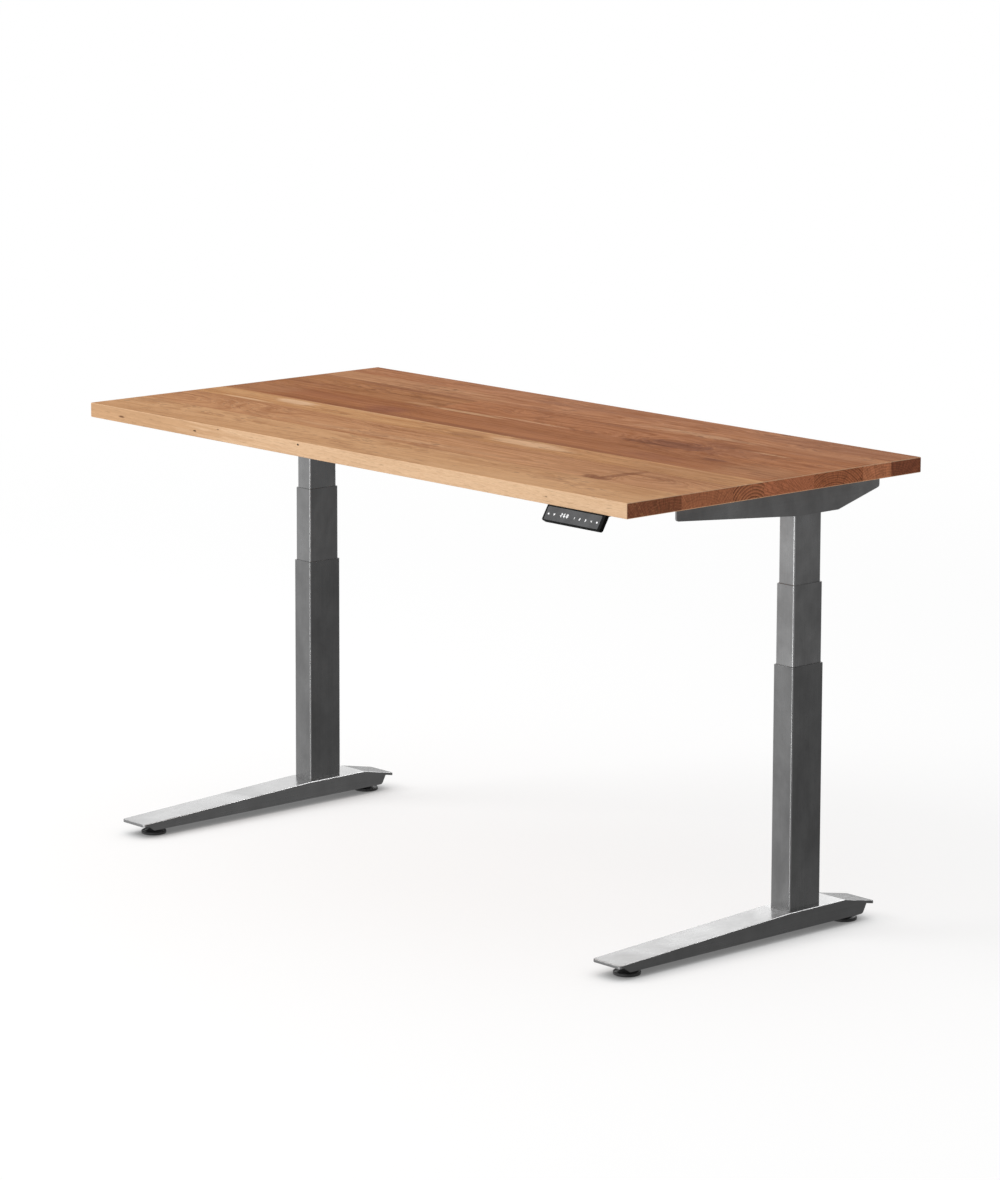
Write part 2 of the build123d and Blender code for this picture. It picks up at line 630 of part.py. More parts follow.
def make_crossbar_bolts():
    """Hexagon bolts from inside each bracket into the ends of the crossbars."""
    with BuildPart() as bolts:
        for _, sign in SIDES:
            wall = Plane(
                origin=(sign * (BRACKET_INNER_X + BRACKET_SHEET), 0, 0), x_dir=(0, 1, 0), z_dir=(sign, 0, 0)
            )
            places = [(y, sign * z) for y, z in crossbar_bolt_places()]
            with BuildSketch(wall):
                with Locations(*places):
                    RegularPolygon(BOLT_HEAD[0], 6, major_radius=False)
            extrude(amount=BOLT_HEAD[1])
            with BuildSketch(wall):
                with Locations(*places):
                    Circle(BOLT_RADIUS)
            extrude(amount=-(BRACKET_SHEET + 10))
    save(bolts, "crossbar_bolts")


def make_control_box():
    """The motor controller: a grooved box with screw tabs, motor and handset sockets and a mains inlet."""
    bottom = UNDERSIDE - CONTROL_SIZE[2]
    with BuildPart() as box:
        with BuildSketch(Plane(origin=(CONTROL_X, COLUMN_Y, bottom))):
            Rectangle(CONTROL_SIZE[0], CONTROL_SIZE[1])
        extrude(amount=CONTROL_SIZE[2])
        fillet(box.edges().filter_by(Axis.Z), 4)
        fillet(box.faces().sort_by(Axis.Z)[0].edges(), 2)
        with BuildSketch(Plane(origin=(CONTROL_X, COLUMN_Y, bottom))):
            with GridLocations(CONTROL_GROOVE_PITCH, 1, CONTROL_GROOVES, 1):
                SlotOverall(CONTROL_GROOVE[0], CONTROL_GROOVE[1], rotation=90)
        extrude(amount=CONTROL_GROOVE[2], mode=Mode.SUBTRACT)
        with BuildSketch(Plane(origin=(CONTROL_X, COLUMN_Y, UNDERSIDE))):
            RectangleRounded(CONTROL_SIZE[0] + 2 * CONTROL_TAB[0], 30, 5)
            reach = CONTROL_SIZE[0] + CONTROL_TAB[0]
            with GridLocations(reach, 1, 2, 1):
                Circle(SCREW_RADIUS + HOLE_CLEARANCE, mode=Mode.SUBTRACT)
        extrude(amount=-CONTROL_TAB[1])
        sockets = Plane(
            origin=(CONTROL_X + CONTROL_SIZE[0] / 2, COLUMN_Y, bottom + 14), x_dir=(0, 1, 0), z_dir=(1, 0, 0)
        )
        with BuildSketch(sockets):
            with Locations((-30, 0), (-8, 0)):
                Rectangle(16, 12)
            with Locations((10, 0)):
                Rectangle(9, 9)
            with Locations((30, 0)):
                RectangleRounded(18, 9, 4)
        extrude(amount=-9, mode=Mode.SUBTRACT)
    save(box, "control_box")


def handset_axes():
    """Directions down the handset's face and into its thickness, in Y and Z."""
    down = (-math.sin(HANDSET_LEAN), -math.cos(HANDSET_LEAN))
    inward = (math.cos(HANDSET_LEAN), -math.sin(HANDSET_LEAN))
    return down, inward


def make_handset():
    """A leaning slab with a flange under the desktop, and the touch panel on its face."""
    down, inward = handset_axes()
    face_top = (FRONT_Y, UNDERSIDE)
    face_low = (FRONT_Y - HANDSET_REACH, UNDERSIDE - HANDSET_DROP)
    back_low = (face_low[0] + HANDSET_THICKNESS * inward[0], face_low[1] + HANDSET_THICKNESS * inward[1])
    flange_z = UNDERSIDE - HANDSET_FLANGE[1]
    climb = (flange_z - back_low[1]) / -down[1]
    back_top = (back_low[0] - climb * down[0], flange_z)
    outline = [
        face_top,
        face_low,
        back_low,
        back_top,
        (FRONT_Y + HANDSET_FLANGE[0], flange_z),
        (FRONT_Y + HANDSET_FLANGE[0], UNDERSIDE),
    ]
    face_middle = (
        FRONT_Y + HANDSET_HEIGHT / 2 * down[0],
        UNDERSIDE + HANDSET_HEIGHT / 2 * down[1],
    )
    panel_plane = Plane(
        origin=(FACE_X, face_middle[0], face_middle[1]), x_dir=(1, 0, 0), z_dir=(0, -inward[0], -inward[1])
    )
    with BuildPart() as body:
        with BuildSketch(Plane.YZ.offset(HANDSET_X - HANDSET_LENGTH / 2)):
            with BuildLine():
                Polyline(*outline, close=True)
            make_face()
        extrude(amount=HANDSET_LENGTH)
        low_edges = []
        for edge in body.edges():
            middle = edge.center()
            at_end = abs(abs(middle.X - HANDSET_X) - HANDSET_LENGTH / 2) < 0.1
            if at_end and abs(edge.length - HANDSET_THICKNESS) < 0.1 and middle.Z < flange_z - 10:
                low_edges.append(edge)
        fillet(low_edges, HANDSET_CORNER)
        with BuildSketch(panel_plane):
            RectangleRounded(FACE_LENGTH, FACE_HEIGHT, 2)
        extrude(amount=-FACE_THICKNESS, mode=Mode.SUBTRACT)
        with BuildSketch(Plane.XY.offset(UNDERSIDE)):
            with Locations(*[(x, y) for x, y, _ in handset_screw_places()]):
                Circle(SCREW_RADIUS + HOLE_CLEARANCE)
        extrude(amount=-HANDSET_FLANGE[1], mode=Mode.SUBTRACT)
    save(body, "handset_body")

    with BuildPart() as panel:
        with BuildSketch(panel_plane):
            RectangleRounded(FACE_LENGTH, FACE_HEIGHT, 2)
        extrude(amount=-FACE_THICKNESS)
    save(panel, "handset_panel")


make_staves()
make_desktop_screws()
for side, sign in SIDES:
    make_foot(side, sign)
    make_glide(side, sign, "front")
    make_glide(side, sign, "rear")
    make_foot_bolts(side, sign)
    make_lower_stage(side, sign)
    make_middle_stage(side, sign)
    make_upper_stage(side, sign)
    make_lifting_screws(side, sign)
    make_side_bracket(side, sign)
    make_drive(side, sign)
make_crossbars()
make_crossbar_bolts()
make_control_box()
make_handset()
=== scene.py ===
import math

import bmesh
import bpy
from mathutils import Matrix, Vector


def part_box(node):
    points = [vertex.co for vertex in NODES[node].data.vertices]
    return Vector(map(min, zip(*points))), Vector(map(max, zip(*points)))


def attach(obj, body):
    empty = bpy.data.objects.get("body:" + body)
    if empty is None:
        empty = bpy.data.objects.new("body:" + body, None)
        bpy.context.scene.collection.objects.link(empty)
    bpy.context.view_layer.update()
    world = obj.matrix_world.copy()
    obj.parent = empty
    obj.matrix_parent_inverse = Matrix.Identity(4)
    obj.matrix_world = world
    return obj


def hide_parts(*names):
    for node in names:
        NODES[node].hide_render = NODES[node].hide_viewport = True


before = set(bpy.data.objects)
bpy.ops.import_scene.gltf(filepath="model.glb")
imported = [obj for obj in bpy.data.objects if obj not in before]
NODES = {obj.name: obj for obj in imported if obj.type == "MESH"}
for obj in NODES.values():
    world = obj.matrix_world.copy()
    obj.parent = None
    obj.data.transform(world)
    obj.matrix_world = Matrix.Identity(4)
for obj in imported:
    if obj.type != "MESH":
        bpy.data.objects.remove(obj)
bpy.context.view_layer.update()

# Height adjustable standing desk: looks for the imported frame. Metres, in the frame's own axes.

SIDES = ("left", "right")
STAVES = (
    "stave_1", "stave_2", "stave_3", "stave_4", "stave_5_left", "stave_5_right", "stave_6", "stave_7",
)

# Camera
CAMERA_AZIMUTH = math.radians(47.88)
CAMERA_ELEVATION = math.radians(9.13)
CAMERA_ROLL = math.radians(0.165)
CAMERA_DISTANCE = 8.537
CAMERA_AIM_HEIGHT = 0.8485
CAMERA_LENS = 137.2
CAMERA_SHIFT = (0.0078, -0.1281)

# Studio
WHITE = (1, 1, 1, 1)
FLOOR_RADIUS = 60.0
FLOOR_SIDES = 96
FLOOR_GREY = (0.36, 0.36, 0.36, 1)
FLOOR_FADE = (2.3, 5.5)  # from a real floor to plain white
FLOOR_GLOW = 0.675
CONTACT_SHADOW_GLOW = 0.12  # the glow left in the painted contact shadow where the desk stands on the floor
CONTACT_REACH = 0.10
BACKDROP_SIDES = (48, 24)
LIGHT_PLACE = Vector((-3.6, -4.2, 4.6))
LIGHT_SIZE = 3.6
LIGHT_POWER = 170.0
DOME_FADE = (-0.6, 0.65, 0.45, 0.25)  # x of a direction, and the strength there: left, right
# Direction, cosines where a lobe is full and where it ends, and what it adds
DOME_LOBES = (
    ((-0.74, -0.66, -0.10), 0.92, 0.45, 0.40),  # the columns' narrow faces
    ((0.0, 0.0, 1.0), 0.85, 0.25, 0.78),  # from above
)
# Cards that only gloss sees: centre, width, height, strength
CARDS = (
    (Vector((-1.36, 2.11, 0.80)), 1.5, 0.9, 1.95),  # low behind, for the right foot's top plate
    (Vector((-2.30, 1.07, 0.65)), 1.3, 0.8, 1.25),  # low behind, for the left foot's top plate
    (Vector((0.90, 3.60, 4.00)), 3.0, 2.2, 9.0),  # high behind, for the feet's long edges
    (Vector((3.45, -8.30, 0.2)), 2.2, 6.0, 2.6),  # in front, for the columns' rounded corners
)


def whole_box(names):
    """Lowest and highest corners of several CAD nodes together."""
    corners = [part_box(name) for name in names]
    low = Vector([min(box[0][axis] for box in corners) for axis in range(3)])
    high = Vector([max(box[1][axis] for box in corners) for axis in range(3)])
    return low, high


DESK_LOW, DESK_HIGH = whole_box(STAVES)
DESK_MIDDLE = (DESK_LOW + DESK_HIGH) / 2


# ---------------------------------------------------------------- camera

def make_camera():
    """A long lens aimed level with the desktop; the shift frames the whole desk."""
    back = Vector((
        math.sin(CAMERA_AZIMUTH) * math.cos(CAMERA_ELEVATION),
        -math.cos(CAMERA_AZIMUTH) * math.cos(CAMERA_ELEVATION),
        math.sin(CAMERA_ELEVATION),
    ))
    level_right = Vector((math.cos(CAMERA_AZIMUTH), math.sin(CAMERA_AZIMUTH), 0))
    level_up = back.cross(level_right)
    right = math.cos(CAMERA_ROLL) * level_right + math.sin(CAMERA_ROLL) * level_up
    up = back.cross(right)
    aim = Vector((0, DESK_MIDDLE.y, CAMERA_AIM_HEIGHT))
    data = bpy.data.cameras.new("camera")
    data.lens = CAMERA_LENS
    data.sensor_width = 36
    data.shift_x, data.shift_y = CAMERA_SHIFT
    data.clip_end = 200
    camera = bpy.data.objects.new("camera", data)
    matrix = Matrix((right, up, back)).transposed().to_4x4()
    matrix.translation = aim + CAMERA_DISTANCE * back
    camera.matrix_world = matrix
    bpy.context.scene.collection.objects.link(camera)
    bpy.context.scene.camera = camera


# ---------------------------------------------------------------- node graphs

class Graph:
    """A short way to write a node tree: each call adds one node and gives its output."""

    def __init__(self, tree):
        self.tree = tree
        tree.nodes.clear()

    def add(self, kind, settings=None, **inputs):
        node = self.tree.nodes.new(kind)
        for key, value in (settings or {}).items():
            setattr(node, key, value)
        for key, value in inputs.items():
            self.feed(node.inputs[key.replace("_", " ")], value)
        return node

    def feed(self, socket, value):
        if isinstance(value, bpy.types.NodeSocket):
            self.tree.links.new(value, socket)
        else:
            socket.default_value = value

    def math(self, operation, *values, clamp=False):
        node = self.add("ShaderNodeMath", {"operation": operation, "use_clamp": clamp})
        for index, value in enumerate(values):
            self.feed(node.inputs[index], value)
        return node.outputs[0]

    def vector(self, operation, *values):
        node = self.add("ShaderNodeVectorMath", {"operation": operation})
        for index, value in enumerate(values):
            self.feed(node.inputs[index], value)
        return node.outputs["Value" if operation in ("LENGTH", "DOT_PRODUCT") else "Vector"]

    def scaled(self, vector, scale, offset=(0, 0, 0)):
        return self.vector("MULTIPLY_ADD", vector, scale, offset)

    def split(self, vector):
        return self.add("ShaderNodeSeparateXYZ", Vector=vector).outputs

    def join(self, x, y, z):
        return self.add("ShaderNodeCombineXYZ", X=x, Y=y, Z=z).outputs[0]

    def noise(self, vector, scale=1.0, detail=2.0, roughness=0.5, distortion=0.0):
        node = self.add(
            "ShaderNodeTexNoise", Vector=vector, Scale=scale, Detail=detail,
            Roughness=roughness, Distortion=distortion,
        )
        return node.outputs["Fac"]

    def range(self, value, low, high, to_low=0.0, to_high=1.0, smooth=True):
        kind = "SMOOTHSTEP" if smooth else "LINEAR"
        node = self.add("ShaderNodeMapRange", {"interpolation_type": kind})
        for index, number in enumerate((value, low, high, to_low, to_high)):
            self.feed(node.inputs[index], number)
        return node.outputs[0]

    def mix(self, factor, first, second):
        node = self.add("ShaderNodeMix", {"data_type": "RGBA", "clamp_factor": True})
        self.feed(node.inputs["Factor"], factor)
        for key, value in (("A", first), ("B", second)):
            socket = [s for s in node.inputs if s.name == key and s.type == "RGBA"][0]
            self.feed(socket, (*value, 1) if isinstance(value, tuple) and len(value) == 3 else value)
        return [s for s in node.outputs if s.type == "RGBA"][0]

    def bump(self, height, strength, distance):
        node = self.add("ShaderNodeBump", Height=height, Strength=strength, Distance=distance)
        return node.outputs["Normal"]

    def end(self, shader, kind="ShaderNodeOutputMaterial"):
        """Joins the last shader to the output of the tree."""
        output = self.add(kind)
        self.tree.links.new(shader.outputs[0], output.inputs["Surface"])


def new_material(name):
    """A material, its graph, and its object coordinates."""
    material = bpy.data.materials.new(name)
    material.use_nodes = True
    graph = Graph(material.node_tree)
    coordinates = graph.add("ShaderNodeTexCoord")
    return material, graph, coordinates


def finish_material(graph, color, roughness, normal, **fixed):
    """Ends a graph in one Principled shader. fixed holds the sockets that take a plain value."""
    shader = graph.add("ShaderNodeBsdfPrincipled")
    graph.feed(shader.inputs["Base Color"], color)
    graph.feed(shader.inputs["Roughness"], roughness)
    graph.feed(shader.inputs["Normal"], normal)
    for key, value in fixed.items():
        shader.inputs[key.replace("_", " ")].default_value = value
    graph.end(shader)


def glowing_material(name, strength):
    """Plain white light of one strength."""
    material, graph, _ = new_material(name)
    graph.end(graph.add("ShaderNodeEmission", Color=WHITE, Strength=strength))
    return material


def shaded(color, factor):
    """A colour made darker or lighter by one factor."""
    return tuple(factor * value for value in color)


# ---------------------------------------------------------------- studio

def make_world():
    """Soft light from all round, stronger from the left, with two broad regions that add to it."""
    world = bpy.data.worlds.new("studio")
    world.use_nodes = True
    bpy.context.scene.world = world
    graph = Graph(world.node_tree)
    direction = graph.add("ShaderNodeTexCoord").outputs["Generated"]
    x, _, _ = graph.split(direction)
    strength = graph.range(x, *DOME_FADE)
    for toward, inner, outer, gain in DOME_LOBES:
        nearness = graph.vector("DOT_PRODUCT", direction, Vector(toward).normalized())
        lobe = graph.math("MULTIPLY", graph.range(nearness, outer, inner), gain)
        strength = graph.math("ADD", strength, lobe)
    graph.end(graph.add("ShaderNodeBackground", Strength=strength), "ShaderNodeOutputWorld")


def only_camera_sees(obj):
    obj.visible_diffuse = False
    obj.visible_glossy = False
    obj.visible_transmission = False
    obj.visible_volume_scatter = False
    obj.visible_shadow = False


def shape_object(name, shape):
    """An object of its own from a bmesh."""
    mesh = bpy.data.meshes.new(name)
    shape.to_mesh(mesh)
    shape.free()
    return bpy.data.objects.new(name, mesh)


def make_card(name, centre, width, height, strength):
    """An upright glowing sheet that faces the desk and shows only in reflections."""
    mesh = bpy.data.meshes.new(name)
    across = Vector((-centre.y, centre.x, 0)).normalized() * width / 2
    upward = Vector((0, 0, height / 2))
    corners = [
        centre - across - upward, centre + across - upward,
        centre + across + upward, centre - across + upward,
    ]
    mesh.from_pydata(corners, [], [(0, 1, 2, 3)])
    card = bpy.data.objects.new(name, mesh)
    card.visible_camera = False
    card.visible_diffuse = False
    card.visible_shadow = False
    mesh.materials.append(glowing_material(name, strength))
    bpy.context.scene.collection.objects.link(card)


def floor_material():
    """Grey with a glow of its own, dimmed into a painted contact shadow where something stands close,
    and plain white far away.
    """
    material, graph, coordinates = new_material("studio_floor")
    diffuse = graph.add("ShaderNodeBsdfDiffuse", Color=FLOOR_GREY)
    # Painted shadow: the glow is dimmed where something stands close
    occlusion = graph.add("ShaderNodeAmbientOcclusion", {"samples": 8}, Distance=CONTACT_REACH)
    glow_in_contact_shadow = graph.range(occlusion.outputs["AO"], 0.0, 1.0, CONTACT_SHADOW_GLOW, FLOOR_GLOW)
    glow = graph.add("ShaderNodeEmission", Color=WHITE, Strength=glow_in_contact_shadow)
    both = graph.add("ShaderNodeAddShader")
    graph.tree.links.new(diffuse.outputs[0], both.inputs[0])
    graph.tree.links.new(glow.outputs[0], both.inputs[1])
    white = graph.add("ShaderNodeEmission", Color=WHITE, Strength=1.0)
    fade = graph.add("ShaderNodeMixShader")
    distance = graph.vector("LENGTH", coordinates.outputs["Object"])
    graph.feed(fade.inputs[0], graph.range(distance, *FLOOR_FADE))
    graph.tree.links.new(both.outputs[0], fade.inputs[1])
    graph.tree.links.new(white.outputs[0], fade.inputs[2])
    graph.end(fade)
    return material


def make_stage():
    """A pale floor, a white backdrop that only the camera sees, glowing cards and a large soft light."""
    shape = bmesh.new()
    bmesh.ops.create_circle(shape, cap_ends=True, segments=FLOOR_SIDES, radius=FLOOR_RADIUS)
    floor = shape_object("studio_floor", shape)
    floor.visible_glossy = False
    floor.data.materials.append(floor_material())

    around, upward = BACKDROP_SIDES
    shape = bmesh.new()
    bmesh.ops.create_uvsphere(shape, u_segments=around, v_segments=upward, radius=FLOOR_RADIUS + 1)
    backdrop = shape_object("studio_backdrop", shape)
    only_camera_sees(backdrop)
    backdrop.data.materials.append(glowing_material("studio_backdrop", 1.0))

    for obj in (floor, backdrop):
        bpy.context.scene.collection.objects.link(obj)
    for number, (centre, width, height, strength) in enumerate(CARDS):
        make_card(f"studio_card_{number}", centre, width, height, strength)

    data = bpy.data.lights.new("key_light", "AREA")
    data.shape = "DISK"
    data.size = LIGHT_SIZE
    data.energy = LIGHT_POWER
    light = bpy.data.objects.new("key_light", data)
    light.location = LIGHT_PLACE
    light.rotation_euler = (LIGHT_PLACE - DESK_MIDDLE).to_track_quat("Z", "Y").to_euler()
    bpy.context.scene.collection.objects.link(light)


# ---------------------------------------------------------------- wood

def tone(red, green, blue):
    """A colour given as it looks on a screen, from 0 to 255, made linear for a shader."""
    return tuple((value / 255) ** 2.2 for value in (red, green, blue))


SAPWOOD = tone(208, 162, 120)
CREAM = tone(230, 188, 150)
PALE_STREAK = tone(214, 168, 128)
DARK_HEART = tone(130, 78, 54)
PLUM_HEART = tone(142, 84, 62)
KNOT = tone(96, 58, 38)
WARM_KNOT = tone(118, 64, 32)
KNOT_BARK = tone(30, 16, 12)
FRONT_EARLY = tone(234, 196, 158)
FRONT_LATE = tone(192, 146, 106)

# How fine each layer of the wood is: along the grain, and the two ways across it
DRIFT_SCALE = (1.3, 4.0, 4.0)
RIPPLE_SCALE = (14.0, 40.0, 40.0)
BAND_SCALE = (0.9, 26, 26)
FIBRE_SCALE = (5.0, 210, 210)
RAGGED_SCALE = (9.0, 200, 200)
PORE_SCALE = (38, 1100, 1100)
DASH_SCALE = (42, 460, 460)
OPEN_GRAIN_SCALE = (3.0, 9.0, 9.0)
FLECK_SCALE = (12, 105, 105)
FRONT_FLECK_SCALE = (55, 300, 700)
SPECKLE_SCALE = (60, 130, 330)
# How strong each layer shows
DASH_STRENGTH = 0.70
PORE_STRENGTH = 0.35
FLECK_STRENGTH = 0.42
# Shares of a colour
PORE_SHADE = 0.36
STAIN_SHADE = 0.80
RAY_SHADE = 1.45
RING_SHADE = 0.35
FLECK_SHADES = (0.60, 0.46, 0.38)

# Each stave has a local frame: x from the desktop's left end, y from the stave's front edge,
# z down from the top. pith is where the heart of the log lies in y and z, and spacing is the
# width of a year's growth. An eye lifts the rings round a hidden branch: place, half sizes and
# lift. A patch is a region of another colour: colour, place, half sizes, strength.
STAVE_LOOKS = {
    "stave_1": dict(
        taper=0.020, contrast=0.50, end=tone(116, 70, 50), end_rings=0.30,
        early=tone(207, 158, 114), late=tone(179, 128, 86), pith=(0.095, -0.115), spacing=0.0050,
        eyes=[((0.26, 0.10), (0.10, 0.030), 0.012), ((1.36, 0.045), (0.07, 0.02), -0.008)],
        patches=[
            (SAPWOOD, (0.00, 0.000, -0.0143), (0.55, 0.003, 0.05), 0.75),
            (KNOT_BARK, (0.638, 0.000, -0.0065), (0.0042, 0.003, 0.0024), 1.0),
            (KNOT_BARK, (0.329, 0.000, -0.0170), (0.0060, 0.003, 0.0016), 0.9),
            (KNOT, (0.400, 0.000, -0.0060), (0.0040, 0.003, 0.0014), 0.7),
            (KNOT, (0.100, 0.000, -0.0165), (0.0130, 0.004, 0.0030), 0.75),
            (KNOT, (1.319, 0.000, -0.0150), (0.0050, 0.003, 0.0016), 0.6),
            (SAPWOOD, (1.05, 0.020, 0.0), (0.36, 0.018, 0.02), 0.35),
        ],
    ),
    "stave_2": dict(
        taper=0.030, contrast=0.55, end=tone(148, 93, 66), end_rings=0.25,
        early=tone(199, 145, 102), late=tone(163, 109, 71), pith=(0.050, -0.085), spacing=0.0052,
        eyes=[
            ((0.30, 0.060), (0.13, 0.040), 0.022), ((1.300, 0.030), (0.030, 0.022), 0.020),
            ((1.36, 0.085), (0.11, 0.028), -0.018), ((0.60, 0.10), (0.10, 0.02), 0.010),
        ],
        patches=[
            (WARM_KNOT, (1.292, 0.014, 0.0), (0.046, 0.022, 0.02), 0.70),
            (WARM_KNOT, (1.306, 0.050, 0.0), (0.014, 0.052, 0.02), 0.55),
            (WARM_KNOT, (1.312, 0.100, 0.0), (0.014, 0.036, 0.02), 0.40),
            (DARK_HEART, (1.340, 0.060, 0.0), (0.280, 0.090, 0.02), 0.16),
            (PALE_STREAK, (0.70, 0.035, 0.0), (0.45, 0.018, 0.02), 0.35),
        ],
    ),
    "stave_3": dict(
        taper=0.010, contrast=0.55, end=tone(156, 98, 70), end_rings=1.0,
        early=tone(204, 152, 104), late=tone(170, 114, 70), pith=(0.050, -0.050), spacing=0.0062,
        eyes=[((0.42, 0.03), (0.14, 0.02), 0.008)],
        patches=[
            (CREAM, (0.262, 0.050, 0.0), (0.080, 0.026, 0.02), 0.72),
            (CREAM, (0.950, 0.046, 0.0), (0.150, 0.026, 0.02), 0.58),
            (CREAM, (0.170, 0.008, 0.0), (0.105, 0.007, 0.02), 0.7),
            (DARK_HEART, (0.79, 0.035, 0.0), (0.060, 0.040, 0.02), 0.25),
            (DARK_HEART, (1.360, 0.035, 0.0), (0.240, 0.060, 0.05), 0.24),
            (PALE_STREAK, (0.62, 0.072, 0.0), (0.60, 0.006, 0.02), 0.45),
        ],
    ),
    "stave_4": dict(
        taper=-0.014, contrast=0.50, end=tone(158, 98, 70), end_rings=0.30,
        early=tone(175, 114, 73), late=tone(141, 84, 47), pith=(0.150, -0.070), spacing=0.0042,
        eyes=[((1.10, 0.11), (0.12, 0.03), 0.014), ((0.48, 0.05), (0.07, 0.04), 0.012)],
        patches=[
            (PLUM_HEART, (0.445, 0.045, 0.0), (0.070, 0.045, 0.02), 0.55),
            (PLUM_HEART, (0.200, 0.070, 0.0), (0.200, 0.040, 0.02), 0.25),
            (PLUM_HEART, (1.190, 0.040, 0.0), (0.100, 0.030, 0.02), 0.35),
            (DARK_HEART, (0.70, 0.010, 0.0), (0.80, 0.016, 0.02), 0.35),
            (DARK_HEART, (1.300, 0.100, 0.0), (0.040, 0.016, 0.02), 0.6),
            (SAPWOOD, (0.060, 0.060, 0.0), (0.120, 0.090, 0.05), 0.20),
            (SAPWOOD, (1.440, 0.060, 0.0), (0.110, 0.090, 0.05), 0.20),
        ],
    ),
    "stave_5_left": dict(
        taper=0.016, contrast=0.50, end=tone(152, 96, 70), end_rings=0.5,
        early=tone(177, 120, 78), late=tone(143, 90, 52), pith=(0.040, -0.130), spacing=0.0046,
        eyes=[((0.25, 0.07), (0.16, 0.04), 0.012)],
        patches=[
            (DARK_HEART, (0.300, 0.118, 0.0), (0.260, 0.012, 0.02), 0.45),
            (PLUM_HEART, (0.100, 0.030, 0.0), (0.140, 0.030, 0.02), 0.25),
            (PALE_STREAK, (0.435, 0.015, 0.0), (0.060, 0.012, 0.02), 0.30),
        ],
    ),
    "stave_5_right": dict(
        taper=-0.022, contrast=0.55, end=tone(150, 92, 64), end_rings=0.85,
        early=tone(179, 118, 77), late=tone(143, 84, 47), pith=(0.050, -0.075), spacing=0.0044,
        eyes=[
            ((0.670, 0.085), (0.045, 0.022), 0.016), ((1.120, 0.050), (0.120, 0.045), 0.040),
            ((1.300, 0.075), (0.050, 0.022), 0.014), ((0.90, 0.02), (0.1, 0.03), -0.012),
        ],
        patches=[
            (SAPWOOD, (0.575, 0.008, 0.0), (0.145, 0.012, 0.02), 0.80),
            (PALE_STREAK, (0.760, 0.022, 0.0), (0.140, 0.008, 0.02), 0.50),
            (DARK_HEART, (1.130, 0.040, 0.0), (0.120, 0.042, 0.02), 0.75),
            (DARK_HEART, (1.180, 0.100, 0.0), (0.080, 0.030, 0.02), 0.40),
            (WARM_KNOT, (1.065, 0.016, 0.0), (0.090, 0.014, 0.02), 0.65),
            (WARM_KNOT, (1.120, 0.048, 0.0), (0.080, 0.012, 0.02), 0.60),
            (DARK_HEART, (1.260, 0.060, 0.0), (0.130, 0.060, 0.02), 0.30),
            (PALE_STREAK, (1.330, 0.090, 0.0), (0.090, 0.007, 0.02), 0.60),
            (DARK_HEART, (0.900, 0.115, 0.0), (0.130, 0.012, 0.02), 0.45),
        ],
    ),
    "stave_6": dict(
        taper=0.018, contrast=0.50, end=tone(166, 106, 76), end_rings=0.45,
        early=tone(189, 131, 91), late=tone(155, 95, 57), pith=(0.060, -0.110), spacing=0.0048,
        eyes=[((1.10, 0.03), (0.14, 0.03), 0.014)],
        patches=[
            (SAPWOOD, (0.160, 0.040, 0.0), (0.420, 0.080, 0.05), 0.32),
            (DARK_HEART, (0.180, 0.003, 0.0), (0.300, 0.005, 0.02), 0.55),
            (PALE_STREAK, (1.080, 0.030, 0.0), (0.200, 0.018, 0.02), 0.50),
            (DARK_HEART, (1.400, 0.040, 0.0), (0.240, 0.080, 0.05), 0.14),
        ],
    ),
    "stave_7": dict(
        taper=-0.016, contrast=0.55, end=tone(112, 66, 48), end_rings=0.35,
        early=tone(188, 130, 91), late=tone(154, 96, 61), pith=(0.000, -0.095), spacing=0.0044,
        eyes=[((0.30, 0.04), (0.12, 0.03), 0.010), ((1.18, 0.05), (0.10, 0.03), 0.016)],
        patches=[
            (DARK_HEART, (0.700, 0.020, 0.0), (0.250, 0.014, 0.02), 0.30),
            (WARM_KNOT, (1.175, 0.050, 0.0), (0.030, 0.010, 0.02), 0.45),
            (DARK_HEART, (1.420, 0.040, 0.0), (0.330, 0.100, 0.05), 0.36),
        ],
    ),
}


def near_eye(graph, local, centre, half):
    """1 over a hidden branch, falling away round it."""
    (x, y), (half_x, half_y) = centre, half
    offset = graph.scaled(local, (1 / half_x, 1 / half_y, 0), (-x / half_x, -y / half_y, 0))
    distance = graph.vector("LENGTH", offset)
    square = graph.math("MULTIPLY", distance, distance)
    return graph.math("EXPONENT", graph.math("MULTIPLY", square, -1.0))


def mask_of_patch(graph, local, ragged, place, half):
    """1 inside a patch, fading over its outer half, with ends that feather along the grain."""
    offset = graph.vector("SUBTRACT", local, place)
    offset = graph.vector("DIVIDE", offset, half)
    distance = graph.math("ADD", graph.vector("LENGTH", offset), ragged)
    return graph.range(distance, 1.0, 0.45)


